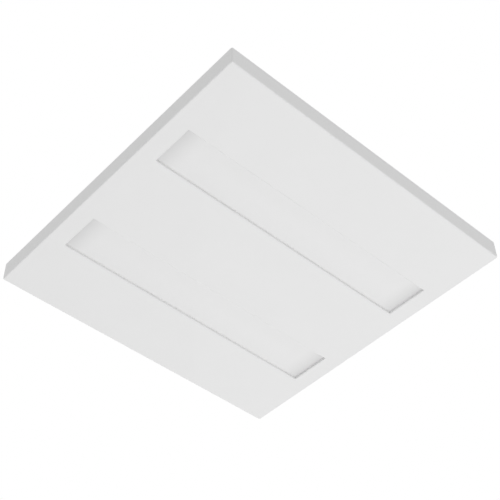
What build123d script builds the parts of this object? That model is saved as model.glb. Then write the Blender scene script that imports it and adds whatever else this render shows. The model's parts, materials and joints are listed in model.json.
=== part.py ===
from build123d import *
import math
import os

# A square ceiling light with two long recessed diffusers over boards of light-emitting diodes.
#
# The ceiling is the plane z = 0 and the light hangs below it, so every z is negative. The origin is the middle
# of the four ceiling pads, and X runs along the windows. The cover swings down on hinges at the +Y side, the
# hinge side, and two springs at the -Y side, the catch side, hold it shut. Lengths are in millimetres.

# Case, as measured on the outside
case_length = 600.0
case_width = 600.0
case_depth = 39.0
rim_gap = 2.0
cover_sheet = 0.8
fold_inner_radius = 1.7
corner_inner_radius = 2.2
rim_inner_radius = 0.6
rim_flange_width = 8.0
mitre_gap = 0.4

# Windows in the face, and the wall folded in around each of them
window_end_margin = 34.0
window_side_margin = 138.0
window_width = 80.0
window_return_depth = 4.5
window_fold_inner_radius = 1.2

# Diffusers, and the rails and stops that hold them in the cover
diffuser_thickness = 2.0
diffuser_lap = 5.0
diffuser_corner_radius = 2.5
diffuser_play = 0.4
rail_sheet = 0.8
rail_foot = 8.0
rail_grip = 3.2
rail_shorter = 6.0
stop_width = 30.0

# Base tray that is screwed to the ceiling
pad_height = 3.0
pad_radius = 24.0
pressing_slope_deg = 45.0
tray_sheet = 0.8
tray_wall_depth = 23.0
tray_bend_inner_radius = 1.0
tray_corner_inner_radius = 2.2
tray_end_gap = 2.0
tray_side_setback = 16.0
mount_spacing_x = 400.0
mount_spacing_y = 450.0
mount_slot_width = 6.5
mount_slot_length = 16.0
bead_length = 340.0
bead_width = 14.0
bead_height = 1.5
bead_setback = 8.0

# Hinges at the +Y side
hinge_spacing = 440.0
hinge_length = 36.0
hinge_axis_inset = 5.0
hinge_swing_margin = 1.75
hinge_pin_radius = 1.5
hinge_knuckle_radius = 3.2
hinge_knuckle_gap = 0.3
hinge_leaf_sheet = 1.2
hinge_leaf_drop = 15.0
hinge_leaf_relief = 1.0
hinge_rivet_setback = 6.2
hinge_notch_margin = 3.0
pin_head_radius = 2.4
pin_head_height = 1.0
running_clearance = 0.05
seat_clearance = 0.1

# Spring catches at the -Y side
catch_spacing = 400.0
catch_width = 22.0
catch_sheet = 0.4
catch_hook = 2.0
catch_release = 2.3
catch_tip_slope = 0.85
catch_foot = 7.0

# Light engines: carriers, boards, light-emitting diodes and white troughs
carrier_sheet = 1.0
carrier_height = 4.2
carrier_web_width = 60.0
carrier_foot = 10.0
carrier_rivet_setback = 27.0
board_width = 40.0
board_thickness = 1.6
board_gap = 4.0
board_corner_radius = 1.0
board_screw_setback = 20.0
led_pitch = 18.0
led_row_spacing = 20.0
led_length = 3.5
led_width = 2.8
led_height = 0.7
unlit_end = 24.0
link_length = 16.0
link_width = 7.0
link_height = 3.6
connector_depth = 7.0
connector_overhang = 0.5
connector_back_wall = 2.0
connector_height = 5.0
trough_sheet = 0.6
trough_floor_rim = 7.0
trough_mouth_end_lap = 8.0
trough_mouth_side_lap = 7.0
trough_lip = 3.0
trough_gap = 3.0
trough_rivet_setback = 37.0
lead_notch_margin = 1.2

# Driver: the power supply of the boards
driver_x = -55.0
driver_length = 230.0
driver_width = 40.0
driver_height = 21.0
driver_plate = 1.0
driver_wall = 1.0
driver_edge_radius = 1.5
driver_ear = 12.0
driver_corner_radius = 3.0
driver_standoff = 3.0
driver_post_radius = 2.0
driver_post_setback_x = 30.0
driver_post_setback_y = 7.0
driver_board_thickness = 1.6
driver_board_margin = 0.5
driver_terminal_length = 12.0
driver_terminal_height = 7.0
driver_terminal_hole = 8.0
driver_output_poles = 4
driver_input_poles = 2

# Larger components on the driver's circuit board
component_headroom = 0.6
transformer_length = 24.0
transformer_width = 20.0
bobbin_length = 14.0
bobbin_width = 26.0
bobbin_relief = 1.5
choke_length = 18.0
choke_width = 16.0
choke_relief = 2.0
capacitor_radius = 6.0
capacitor_length = 20.0
capacitor_edge_radius = 0.8
fuse_length = 10.0
fuse_width = 13.0
fuse_height = 9.0
heat_sink_sheet = 3.0
heat_sink_width = 26.0
heat_sink_height = 10.0

# Where each component stands: its distance from the driver's middle, as a share of the driver's length
choke_place = 0.24
capacitor_places = (0.12, -0.24)
fuse_place = 0.34
heat_sink_place = -0.14

# Wiring held inside the case
lead_radius = 0.8
lead_pitch = 4.0
lead_turn_gap = 15.0
lead_bend_radius = 8.0
mains_wire_radius = 1.1
mains_pitch = 5.0
mains_straight = 12.0
mains_bend_radius = 20.0
earth_bend_radius = 6.0
wire_end_gap = 0.5
clip_length = 6.0
clip_cover = 1.5
clip_foot_length = 16.0
clip_foot_width = 10.0
clip_foot_height = 1.2
moulding_chamfer = 0.5

# Mains terminal block
wiring_gap = 50.0
block_length = 30.0
block_height = 17.0
block_corner_radius = 1.0
block_wall = 1.5
block_ear = 8.0
block_ear_length = 12.0
block_ear_corner_radius = 2.0
block_ear_thickness = 3.5
pole_pitch = 11.0
pole_hole_radius = 1.75
pole_hole_depth = 8.0
chamber_headroom = 1.2
contact_sheet = 0.8
button_side = 5.0
button_clearance = 0.3
button_travel = 1.5
button_proud = 2.0
button_edge_radius = 0.6
button_lip = 0.8
button_lip_height = 0.8
button_slot_width = 0.8
button_slot_depth = 0.6

# Earth point beside the driver
stud_gap_x = 10.0
stud_gap_y = 18.0
stud_radius = 2.0
stud_length = 9.0
stud_weld_radius = 3.5
stud_weld_height = 0.6
washer_radius = 4.4
washer_sheet = 0.8
washer_teeth = 12
washer_tooth_gap = 0.9
washer_tooth_depth = 0.7
lug_radius = 4.2
lug_sheet = 0.8
lug_barrel_radius = 1.7
lug_barrel_length = 7.0
lug_barrel_floor = 2.0
nut_across_flats = 7.0
nut_height = 3.2

# Cable entry, spare entry and cord clamp
entry_gap = 90.0
spare_entry_gap = 55.0
entry_hole_radius = 9.0
entry_bore_radius = 6.0
grommet_flange = 3.0
grommet_upper = 1.8
grommet_lower = 2.5
grommet_edge_radius = 0.9
plug_rim = 2.5
clamp_gap = 40.0
clamp_cable_radius = 4.0
clamp_wall = 2.0
clamp_length = 10.0
clamp_ear = 8.0
clamp_corner_radius = 2.0

# Fasteners
screw_radius = 1.5
screw_head_radius = 2.8
screw_head_height = 1.9
driver_screw_radius = 2.0
driver_screw_head_radius = 3.6
driver_screw_head_height = 2.4
screw_tip = 1.4
board_screw_tip = 0.7
screw_head_rounding = 0.45
recess_depth_share = 0.55
recess_half_width_share = 0.12
recess_reach_share = 0.62
rivet_radius = 1.6
rivet_head_radius = 3.2
rivet_head_height = 1.0
push_rivet_radius = 1.3
push_rivet_head_radius = 2.4
push_rivet_head_height = 0.9
rivet_head_rounding = 0.6
rivet_bulb_swelling = 1.35

# How far a cutting shape runs past what it cuts
cut_past = 1.0

# Levels and places that follow from the sizes above
face_z = -case_depth
cover_inside_z = face_z + cover_sheet
rim_z = -rim_gap
rim_under_z = rim_z - cover_sheet
window_length = case_length - 2 * window_end_margin
window_y = case_width / 2 - window_side_margin - window_width / 2
tray_top_z = -pad_height
tray_under_z = tray_top_z - tray_sheet
tray_lip_z = tray_top_z - tray_wall_depth
tray_length = case_length - 2 * (rim_flange_width + tray_end_gap)
tray_width = case_width - 2 * tray_side_setback
hinge_y = case_width / 2 - hinge_axis_inset
hinge_z = -(hinge_axis_inset**2 + rim_gap**2) / (2 * rim_gap) - hinge_swing_margin
diffuser_low_z = face_z + window_return_depth
diffuser_top_z = diffuser_low_z + diffuser_thickness
rail_top_z = diffuser_top_z + diffuser_play / 2 + rail_sheet
trough_mouth_z = rail_top_z + trough_gap
carrier_low_z = tray_under_z - carrier_height
board_low_z = carrier_low_z - board_thickness
leds_per_row = int((window_length / 2 - unlit_end) / led_pitch)
board_length = leds_per_row * led_pitch + board_gap
boards_length = 2 * board_length + board_gap
bead_y = window_y - carrier_web_width / 2 - carrier_foot - bead_setback - bead_width / 2
driver_plate_z = tray_under_z - driver_plate
driver_low_z = tray_under_z - driver_height
driver_board_top_z = driver_plate_z - driver_standoff
driver_board_low_z = driver_board_top_z - driver_board_thickness
component_low_z = driver_low_z + driver_wall + component_headroom
lead_z = driver_board_low_z - driver_terminal_height / 2
output_end_x = driver_x - driver_length / 2
input_end_x = driver_x + driver_length / 2
outer_lead_x = output_end_x - lead_turn_gap
inner_lead_x = outer_lead_x - lead_pitch
connector_x = (outer_lead_x + inner_lead_x) / 2
block_x = input_end_x + wiring_gap + block_length / 2
block_low_z = tray_under_z - block_height
block_width = 3 * pole_pitch + 2 * block_wall
chamber_half_length = block_length / 2 - pole_hole_depth
chamber_half_height = pole_hole_radius + chamber_headroom
chamber_half_width = pole_pitch / 2 - block_wall
chamber_floor_z = lead_z - chamber_half_height
chamber_top_z = lead_z + chamber_half_height
button_x = block_x + chamber_half_length - button_side / 2 - button_clearance
stud_x = input_end_x + stud_gap_x
stud_y = driver_width / 2 + stud_gap_y
washer_top_z = tray_under_z - stud_weld_height
lug_top_z = washer_top_z - washer_sheet
lug_barrel_z = lug_top_z - lug_barrel_radius
lug_barrel_end_x = stud_x + lug_radius + lug_barrel_length
entry_x = block_x + entry_gap
clamp_x = entry_x - clamp_gap
spare_entry_x = output_end_x - spare_entry_gap
POLE_YS = (-pole_pitch, 0.0, pole_pitch)
SIDES = {"hinge_side": 1, "catch_side": -1}
PIECES = {"a": -1, "b": 1}
ENDS = {"left": -1, "right": 1}


def around(middle, width):
    """The (low, high) of a width centred on a middle."""
    return middle - width / 2, middle + width / 2


def beyond(middle, sign, near, far):
    """The (low, high) of the stretch that lies near to far out from a middle, on the sign's side."""
    return tuple(sorted((middle + sign * near, middle + sign * far)))


def grown(span, by):
    """A (low, high) made longer at both ends."""
    return span[0] - by, span[1] + by


def block(x, y, z):
    """A box given by its (low, high) along each axis."""
    size = [high - low for low, high in (x, y, z)]
    middle = [(low + high) / 2 for low, high in (x, y, z)]
    return Pos(*middle) * Box(*size)


def post(x, y, z, radius):
    """An upright cylinder between two heights."""
    return Pos(x, y, (z[0] + z[1]) / 2) * Cylinder(radius, z[1] - z[0])


def rod_x(x, y, z, radius):
    """A cylinder along X between two places."""
    return Pos((x[0] + x[1]) / 2, y, z) * Rot(0, 90, 0) * Cylinder(radius, x[1] - x[0])


def rod_y(x, y, z, radius):
    """A cylinder along Y between two places."""
    return Pos(x, (y[0] + y[1]) / 2, z) * Rot(90, 0, 0) * Cylinder(radius, y[1] - y[0])


def all_of(shapes):
    """Several separate solids as one group."""
    return Compound(children=[solid for shape in shapes for solid in shape.solids()])


def upright_edges(shape):
    """The edges that run along Z."""
    return shape.edges().filter_by(Axis.Z)


def low_rim(shape):
    """The edges round the lowest face."""
    return shape.faces().sort_by(Axis.Z)[0].edges()


def high_rim(shape):
    """The edges round the highest face."""
    return shape.faces().sort_by(Axis.Z)[-1].edges()


def rounded_box(length, width, z, corner, low_edge, high_edge):
    """A box on the Z axis with upright edges of one radius, and its low and high rims of two others."""
    shape = fillet(upright_edges(block(around(0, length), around(0, width), z)), corner)
    if low_edge:
        shape = fillet(low_rim(shape), low_edge)
    if high_edge:
        shape = fillet(high_rim(shape), high_edge)
    return shape


def pressed(plate, outline, height, sheet):
    """The plate with the outline pressed up from it by a height, with sloping walls."""
    punch = extrude(outline, height, taper=pressing_slope_deg)
    return plate + punch - Pos(0, 0, -sheet) * punch


def pan_screw(x, y, seat_z, tip_z, radius=screw_radius, head=screw_head_radius, height=screw_head_height):
    """A pan-head screw that points up: its head, with a cross recess, is under the seat."""
    head_low_z = seat_z - height
    shape = post(x, y, (head_low_z, seat_z), head)
    shape = fillet(low_rim(shape), height * screw_head_rounding)
    recess_z = (head_low_z - cut_past, head_low_z + height * recess_depth_share)
    across = 2 * head * recess_half_width_share
    along = 2 * head * recess_reach_share
    shape -= block(around(x, along), around(y, across), recess_z)
    shape -= block(around(x, across), around(y, along), recess_z)
    return shape + post(x, y, (seat_z, tip_z), radius)


def blind_rivet(grip, radius=rivet_radius, head=rivet_head_radius, height=rivet_head_height):
    """A blind rivet along Z through sheets from z = 0 up to the grip: a domed head below, a bulb above."""
    dome = post(0, 0, (-height, 0), head)
    dome = fillet(low_rim(dome), height * rivet_head_rounding)
    bulb = post(0, 0, (grip, grip + height), radius * rivet_bulb_swelling)
    bulb = fillet(high_rim(bulb), height * rivet_head_rounding)
    return dome + post(0, 0, (0, grip), radius) + bulb


def bent_wire(points, radius, bends):
    """A round wire along straight runs joined by tangent arcs."""
    path = FilletPolyline(*points, radius=bends)
    start = Plane(origin=path @ 0, z_dir=path % 0)
    return sweep(start * Circle(radius), path=path)


# Cover


def front_cover():
    """The painted pan: face, four sides, a narrow rim turned in, and two windows whose edges are folded in."""
    sheet = cover_sheet
    shape = rounded_box(
        case_length,
        case_width,
        (face_z, rim_z),
        corner_inner_radius + sheet,
        fold_inner_radius + sheet,
        rim_inner_radius + sheet,
    )
    shape -= rounded_box(
        case_length - 2 * sheet,
        case_width - 2 * sheet,
        (cover_inside_z, rim_under_z),
        corner_inner_radius,
        fold_inner_radius,
        rim_inner_radius,
    )
    rim_cut_z = (rim_under_z - sheet, rim_z + cut_past)
    mouth_x = around(0, case_length - 2 * rim_flange_width)
    shape -= block(mouth_x, around(0, case_width - 2 * rim_flange_width), rim_cut_z)
    for x_sign in (-1, 1):
        for y_sign in (-1, 1):
            shape -= mitre_cut(x_sign, y_sign)
    notch_y = (case_width / 2 - rim_flange_width - cut_past, case_width / 2 - sheet)
    for end in ENDS.values():
        notch_x = around(end * hinge_spacing / 2, hinge_length + 2 * hinge_notch_margin)
        shape -= block(notch_x, notch_y, rim_cut_z)
    for side in SIDES.values():
        shape = with_window(shape, side * window_y)
    return shape


def mitre_cut(x_sign, y_sign):
    """The slit at 45 degrees where two lengths of the turned-in rim meet at a corner."""
    reach = (rim_flange_width - corner_inner_radius - cover_sheet) * math.sqrt(2)
    slit = Pos(reach / 2, 0, 0) * Box(reach + 2 * cut_past, mitre_gap, 4 * cover_sheet)
    mouth_x = x_sign * (case_length / 2 - rim_flange_width)
    mouth_y = y_sign * (case_width / 2 - rim_flange_width)
    turn_deg = math.degrees(math.atan2(y_sign, x_sign))
    return Pos(mouth_x, mouth_y, rim_z) * Rot(0, 0, turn_deg) * slit


def with_window(shape, y):
    """The cover with one window cut and its edges folded in."""
    sheet = cover_sheet
    wall_x = around(0, window_length + 2 * sheet)
    wall_y = around(y, window_width + 2 * sheet)
    shape += block(wall_x, wall_y, (face_z + sheet / 2, diffuser_low_z))
    hole_z = grown((face_z, diffuser_low_z), cut_past)
    shape -= block(around(0, window_length), around(y, window_width), hole_z)

    def loop(length, width, z):
        """The four edges at one level along a rectangle round the window."""

        def on_loop(edge):
            middle = edge @ 0.5
            off = max(abs(middle.X) - length / 2, abs(middle.Y - y) - width / 2)
            return abs(off) < sheet / 10 and abs(middle.Z - z) < sheet / 10

        return shape.edges().filter_by(on_loop)

    shape = fillet(loop(wall_x[1] - wall_x[0], wall_y[1] - wall_y[0], cover_inside_z), window_fold_inner_radius)
    return fillet(loop(window_length, window_width, face_z), window_fold_inner_radius + sheet)


def diffuser(side):
    """The opal plate that lies on the folded edge of a window."""
    length = around(0, window_length + 2 * diffuser_lap)
    width = around(side * window_y, window_width + 2 * diffuser_lap)
    plate = block(length, width, (diffuser_low_z, diffuser_top_z))
    return fillet(upright_edges(plate), diffuser_corner_radius)


def z_section(along, across, rail_is_along_x):
    """A strip with its foot on the face, a web on end, and a flange that turns back over a diffuser.

    The across argument gives the (low, high) of the foot, the web and the flange.
    """
    heights = (
        (cover_inside_z, cover_inside_z + rail_sheet),
        (cover_inside_z, rail_top_z),
        (rail_top_z - rail_sheet, rail_top_z),
    )
    leaves = []
    for width, z in zip(across, heights):
        leaves.append(block(along, width, z) if rail_is_along_x else block(width, along, z))
    return leaves[0] + leaves[1] + leaves[2]


def z_section_across(middle, sign, near):
    """Where the foot, the web and the flange lie, from a middle out to a web whose inside is at near."""
    foot = beyond(middle, sign, near, near + rail_foot)
    web = beyond(middle, sign, near, near + rail_sheet)
    flange = beyond(middle, sign, near - rail_grip, near + rail_sheet)
    return foot, web, flange


def diffuser_rails(side):
    """The two strips, spot-welded inside the face, that one diffuser slides between."""
    length = around(0, window_length - 2 * rail_shorter)
    near = window_width / 2 + diffuser_lap + diffuser_play
    return all_of(z_section(length, z_section_across(side * window_y, edge, near), True) for edge in (-1, 1))


def diffuser_end_stops():
    """A folded angle at each end of each diffuser, which keeps it from sliding out."""
    near = window_length / 2 + diffuser_lap + diffuser_play
    return all_of(
        z_section(around(side * window_y, stop_width), z_section_across(0, end, near), False)
        for side in SIDES.values()
        for end in (-1, 1)
    )


# Hinges


def knuckle_spans(x):
    """Where the three knuckles of the hinge at x lie along X, with the running gap taken off."""
    third = hinge_length / 3
    half_gap = hinge_knuckle_gap / 2
    return [
        (x - hinge_length / 2, x - third / 2 - half_gap),
        (x - third / 2 + half_gap, x + third / 2 - half_gap),
        (x + third / 2 + half_gap, x + hinge_length / 2),
    ]


def hinge_cover_leaf(x):
    """The leaf welded inside the cover's side, with the middle knuckle."""
    span = knuckle_spans(x)[1]
    inside_y = case_width / 2 - cover_sheet
    leaf_y = (inside_y - hinge_leaf_sheet, inside_y)
    leaf_top_z = hinge_z - hinge_knuckle_radius - hinge_leaf_relief
    shape = block(around(x, hinge_length), leaf_y, (leaf_top_z - hinge_leaf_drop, leaf_top_z))
    shape += block(span, leaf_y, (leaf_top_z, hinge_z))
    shape += block(span, (hinge_y, inside_y), (hinge_z - hinge_knuckle_radius, hinge_z))
    shape += rod_x(span, hinge_y, hinge_z, hinge_knuckle_radius)
    return shape - rod_x(grown(span, cut_past), hinge_y, hinge_z, hinge_pin_radius + running_clearance)


def hinge_rivet_places(x):
    """The (x, z) of the two rivets of the hinge at x."""
    reach = hinge_length / 2 - hinge_rivet_setback
    rivet_z = hinge_z - hinge_leaf_drop + hinge_rivet_setback
    return [(x - reach, rivet_z), (x + reach, rivet_z)]


def hinge_base_leaf(x):
    """The leaf riveted to the outside of the tray's wall, with the two outer knuckles on an arm."""
    wall_y = tray_width / 2
    leaf_y = (wall_y, wall_y + hinge_leaf_sheet)
    arm_z = around(hinge_z, hinge_leaf_sheet)
    shape = block(around(x, hinge_length), leaf_y, (hinge_z - hinge_leaf_drop, arm_z[1]))
    for span in (knuckle_spans(x)[0], knuckle_spans(x)[2]):
        shape += block(span, (wall_y, hinge_y), arm_z)
        shape += rod_x(span, hinge_y, hinge_z, hinge_knuckle_radius)
    bore_radius = hinge_pin_radius + running_clearance / 2
    shape -= rod_x(around(x, hinge_length + 2 * cut_past), hinge_y, hinge_z, bore_radius)
    for rivet_x, rivet_z in hinge_rivet_places(x):
        shape -= rod_y(rivet_x, grown(leaf_y, cut_past), rivet_z, rivet_radius + seat_clearance)
    return shape


def hinge_pin(x):
    """The pin through the three knuckles, with a head at each end."""
    length = around(x, hinge_length)
    shape = rod_x(length, hinge_y, hinge_z, hinge_pin_radius)
    for head_x in ((length[0] - pin_head_height, length[0]), (length[1], length[1] + pin_head_height)):
        shape += rod_x(head_x, hinge_y, hinge_z, pin_head_radius)
    return shape


def hinge_rivets():
    """The rivets that hold the base leaves to the tray's wall."""
    rivet = blind_rivet(tray_sheet + hinge_leaf_sheet)
    head_y = tray_width / 2 + hinge_leaf_sheet
    return all_of(
        Pos(rivet_x, head_y, rivet_z) * Rot(90, 0, 0) * rivet
        for end in ENDS.values()
        for rivet_x, rivet_z in hinge_rivet_places(end * hinge_spacing / 2)
    )


# Catches


def catch_rivet_place(x):
    """The (x, z) of the rivet of the catch at x."""
    return x, tray_lip_z + catch_foot / 2


def spring_catch(x):
    """A strip of spring steel on the tray's wall, whose bent nose holds up the cover's turned-in rim."""
    strip_y = -tray_width / 2 - catch_sheet / 2
    rim_y = -(case_width / 2 - rim_flange_width)
    nose_y = rim_y - catch_hook
    nose_z = rim_under_z - catch_hook
    tip_run = catch_hook + catch_release
    points = [
        (strip_y, tray_lip_z),
        (strip_y, tray_lip_z + catch_foot),
        (nose_y, nose_z),
        (nose_y + tip_run, nose_z + tip_run * catch_tip_slope),
    ]
    strip = offset(Polyline(*points), catch_sheet / 2, side=Side.BOTH)
    profile = make_face(strip.edges())
    shape = Pos(x, 0, 0) * extrude(Plane.YZ * profile, catch_width / 2, both=True)
    rivet_x, rivet_z = catch_rivet_place(x)
    return shape - rod_y(rivet_x, around(strip_y, 4 * catch_sheet), rivet_z, rivet_radius + seat_clearance)


def catch_rivets():
    """The rivet of each catch, through the tray's wall."""
    rivet = blind_rivet(tray_sheet + catch_sheet)
    head_y = -tray_width / 2 - catch_sheet
    places = [catch_rivet_place(end * catch_spacing / 2) for end in ENDS.values()]
    return all_of(Pos(x, head_y, z) * Rot(-90, 0, 0) * rivet for x, z in places)


# Base tray


def plate_holes():
    """Every plain round hole in the tray's plate: (x, y, radius)."""
    holes = [(entry_x, 0, entry_hole_radius), (spare_entry_x, 0, entry_hole_radius)]
    holes += [(x, y, rivet_radius + seat_clearance) for x, y in carrier_rivet_places()]
    holes += [(x, 0, driver_screw_radius + seat_clearance) for x in driver_screw_places()]
    holes += [(block_x, y, screw_radius + seat_clearance) for y in block_screw_places()]
    holes += [(clamp_x, y, screw_radius + seat_clearance) for y in clamp_screw_places()]
    return holes


def base_tray():
    """The galvanised steel tray: plate, four walls turned down, raised ceiling pads and stiffening beads."""
    sheet = tray_sheet
    shape = rounded_box(
        tray_length,
        tray_width,
        (tray_lip_z, tray_top_z),
        tray_corner_inner_radius + sheet,
        0,
        tray_bend_inner_radius + sheet,
    )
    shape -= rounded_box(
        tray_length - 2 * sheet,
        tray_width - 2 * sheet,
        (tray_lip_z - cut_past, tray_under_z),
        tray_corner_inner_radius,
        0,
        tray_bend_inner_radius,
    )
    slot = SlotOverall(mount_slot_length, mount_slot_width)
    for x in around(0, mount_spacing_x):
        for y in around(0, mount_spacing_y):
            shape = pressed(shape, Pos(x, y, tray_top_z) * Circle(pad_radius), pad_height, sheet)
            shape -= Pos(x, y, -sheet - cut_past) * extrude(slot, sheet + 2 * cut_past)
    for side in SIDES.values():
        bead = Pos(0, side * bead_y, tray_top_z) * SlotOverall(bead_length, bead_width)
        shape = pressed(shape, bead, bead_height, sheet)
    for x, y, radius in plate_holes():
        shape -= post(x, y, grown((tray_under_z, tray_top_z), cut_past), radius)
    wall_hole_radius = rivet_radius + seat_clearance
    for end in ENDS.values():
        for x, z in hinge_rivet_places(end * hinge_spacing / 2):
            shape -= rod_y(x, around(tray_width / 2, 4 * sheet), z, wall_hole_radius)
        x, z = catch_rivet_place(end * catch_spacing / 2)
        shape -= rod_y(x, around(-tray_width / 2, 4 * sheet), z, wall_hole_radius)
    return shape


# Light engines


def carrier_rivet_places():
    """The (x, y) of the rivets that hold the two carriers to the tray."""
    foot_y = (carrier_web_width + carrier_foot) / 2
    reach = boards_length / 2 + trough_floor_rim - carrier_rivet_setback
    return [
        (x, side * window_y + edge * foot_y)
        for side in SIDES.values()
        for edge in (-1, 1)
        for x in (-reach, 0, reach)
    ]


def led_carrier(side):
    """A hat-shaped aluminium strip that carries the boards and spreads their heat into the tray."""
    length = around(0, boards_length + 2 * trough_floor_rim)
    middle = side * window_y
    web_z = (carrier_low_z, carrier_low_z + carrier_sheet)
    foot_z = (tray_under_z - carrier_sheet, tray_under_z)
    half = carrier_web_width / 2
    shape = block(length, around(middle, carrier_web_width), web_z)
    for edge in (-1, 1):
        wall = beyond(middle, edge, half - carrier_sheet, half)
        foot = beyond(middle, edge, half - carrier_sheet, half + carrier_foot)
        shape += block(length, wall, (carrier_low_z, tray_under_z))
        shape += block(length, foot, foot_z)
    for x, y in carrier_rivet_places():
        shape -= post(x, y, grown(foot_z, cut_past), rivet_radius + seat_clearance)
    for piece in PIECES.values():
        for x, y in board_screw_places(side, piece):
            shape -= post(x, y, grown(web_z, cut_past), screw_radius + seat_clearance)
    for x, y in push_rivet_places(side):
        shape -= post(x, y, grown(web_z, cut_past), push_rivet_radius + seat_clearance)
    return shape


def carrier_rivets():
    """The blind rivets through the carriers' feet and the tray."""
    rivet = blind_rivet(carrier_sheet + tray_sheet)
    head_z = tray_under_z - carrier_sheet
    return all_of(Pos(x, y, head_z) * rivet for x, y in carrier_rivet_places())


def board_middle_x(piece):
    """The X of the middle of board a or b."""
    return piece * (board_length + board_gap) / 2


def board_screw_places(side, piece):
    """The (x, y) of the screws of one board."""
    reach = board_length / 2 - board_screw_setback
    return [(board_middle_x(piece) + x, side * window_y) for x in (-reach, 0, reach)]


def led_board(side, piece):
    """A white printed circuit board."""
    length = around(board_middle_x(piece), board_length)
    z = (board_low_z, carrier_low_z)
    shape = block(length, around(side * window_y, board_width), z)
    shape = fillet(upright_edges(shape), board_corner_radius)
    for x, y in board_screw_places(side, piece):
        shape -= post(x, y, grown(z, cut_past), screw_radius + seat_clearance)
    return shape


def led_places(side, piece):
    """The (x, y) of each light-emitting diode of one board: two rows."""
    first = board_middle_x(piece) - (leds_per_row - 1) / 2 * led_pitch
    return [
        (first + i * led_pitch, side * window_y + row * led_row_spacing / 2)
        for row in (-1, 1)
        for i in range(leds_per_row)
    ]


def led_packages(side):
    """All the light-emitting diodes over one diffuser."""
    z = (board_low_z - led_height, board_low_z)
    return all_of(
        block(around(x, led_length), around(y, led_width), z)
        for piece in PIECES.values()
        for x, y in led_places(side, piece)
    )


def board_screws():
    """The screws that press the boards onto their carriers."""
    tip_z = carrier_low_z + carrier_sheet + board_screw_tip
    return all_of(
        pan_screw(x, y, board_low_z, tip_z)
        for side in SIDES.values()
        for piece in PIECES.values()
        for x, y in board_screw_places(side, piece)
    )


def board_links():
    """The plug that joins board a to board b, one over each diffuser."""
    links = []
    for side in SIDES.values():
        width = around(side * window_y, link_width)
        link = block(around(0, link_length), width, (board_low_z - link_height, board_low_z))
        links.append(chamfer(low_rim(link), moulding_chamfer))
    return all_of(links)


def connector_edge(side):
    """How the push-in connector lies in Y: its open end, a little over the board's edge, and its back."""
    open_y = side * (window_y - board_width / 2 - connector_overhang)
    return open_y, open_y + side * connector_depth


def board_connectors():
    """The push-in connector on each board a that takes two leads from the driver."""
    made = []
    for side in SIDES.values():
        open_y, back_y = connector_edge(side)
        width = around(connector_x, 2 * lead_pitch + 2 * moulding_chamfer)
        body = block(width, sorted((open_y, back_y)), (board_low_z - connector_height, board_low_z))
        body = chamfer(low_rim(body), moulding_chamfer)
        for x in (outer_lead_x, inner_lead_x):
            hole = sorted((open_y - side * cut_past, back_y - side * connector_back_wall))
            body -= rod_y(x, hole, lead_z, lead_radius + seat_clearance)
        made.append(body)
    return all_of(made)


def trough_half_sizes(z):
    """Half the length and half the width of the trough's outside at a height."""
    share = (carrier_low_z - z) / (carrier_low_z - trough_mouth_z)
    floor_length = boards_length / 2 + trough_floor_rim
    mouth_length = window_length / 2 + trough_mouth_end_lap
    floor_width = carrier_web_width / 2
    mouth_width = window_width / 2 + trough_mouth_side_lap
    length = floor_length + share * (mouth_length - floor_length)
    width = floor_width + share * (mouth_width - floor_width)
    return length, width


def trough_body(middle, z_from, z_to, inset):
    """A tapered solid with the trough's outside between two heights, drawn in by an inset all round."""
    sections = []
    for z in (z_from, z_to):
        length, width = trough_half_sizes(z)
        sections.append(Pos(0, middle, z) * Rectangle(2 * (length - inset), 2 * (width - inset)))
    return loft(sections, ruled=True)


def white_trough(side):
    """The white reflector round the boards: floor rim, four sloping walls and a lip round the mouth."""
    middle = side * window_y
    shape = trough_body(middle, carrier_low_z, trough_mouth_z, 0)
    mouth_length, mouth_width = trough_half_sizes(trough_mouth_z)
    lip_x = around(0, 2 * (mouth_length + trough_lip))
    lip_y = around(middle, 2 * (mouth_width + trough_lip))
    shape += block(lip_x, lip_y, (trough_mouth_z, trough_mouth_z + trough_sheet))
    floor_z = (carrier_low_z - trough_sheet, carrier_low_z)
    shape -= trough_body(middle, floor_z[0], trough_mouth_z - cut_past, trough_sheet)
    hole_x = around(0, boards_length + 2 * seat_clearance)
    hole_y = around(middle, board_width + 2 * seat_clearance)
    shape -= block(hole_x, hole_y, grown(floor_z, cut_past))
    shape -= lead_notch(side)
    for x, y in push_rivet_places(side):
        shape -= post(x, y, grown(floor_z, cut_past), push_rivet_radius + seat_clearance)
    return shape


def lead_notch(side):
    """The slot in the trough's wall that the two leads of a board pass through."""
    low_z = lead_z - lead_radius - lead_notch_margin
    high_z = carrier_low_z - trough_sheet
    wall_width = trough_half_sizes(low_z)[1]
    floor_width = carrier_web_width / 2 - 2 * trough_sheet
    notch_x = grown((inner_lead_x, outer_lead_x), lead_radius + lead_notch_margin)
    return block(notch_x, beyond(side * window_y, -side, floor_width, wall_width + cut_past), (low_z, high_z))


def push_rivet_places(side):
    """The (x, y) of the plastic rivets that hold a trough to its carrier."""
    rim_middle = (board_width + carrier_web_width) / 4
    reach = boards_length / 2 + trough_floor_rim - trough_rivet_setback
    return [(x, side * window_y + edge * rim_middle) for edge in (-1, 1) for x in (-reach, 0, reach)]


def push_rivets():
    """White plastic rivets through the floor rims of both troughs."""
    rivet = blind_rivet(
        trough_sheet + carrier_sheet, push_rivet_radius, push_rivet_head_radius, push_rivet_head_height
    )
    head_z = carrier_low_z - trough_sheet
    return all_of(Pos(x, y, head_z) * rivet for side in SIDES.values() for x, y in push_rivet_places(side))


# Driver


def driver_screw_places():
    """The X of the two screws of the driver."""
    reach = (driver_length + driver_ear) / 2
    return driver_x - reach, driver_x + reach


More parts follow.
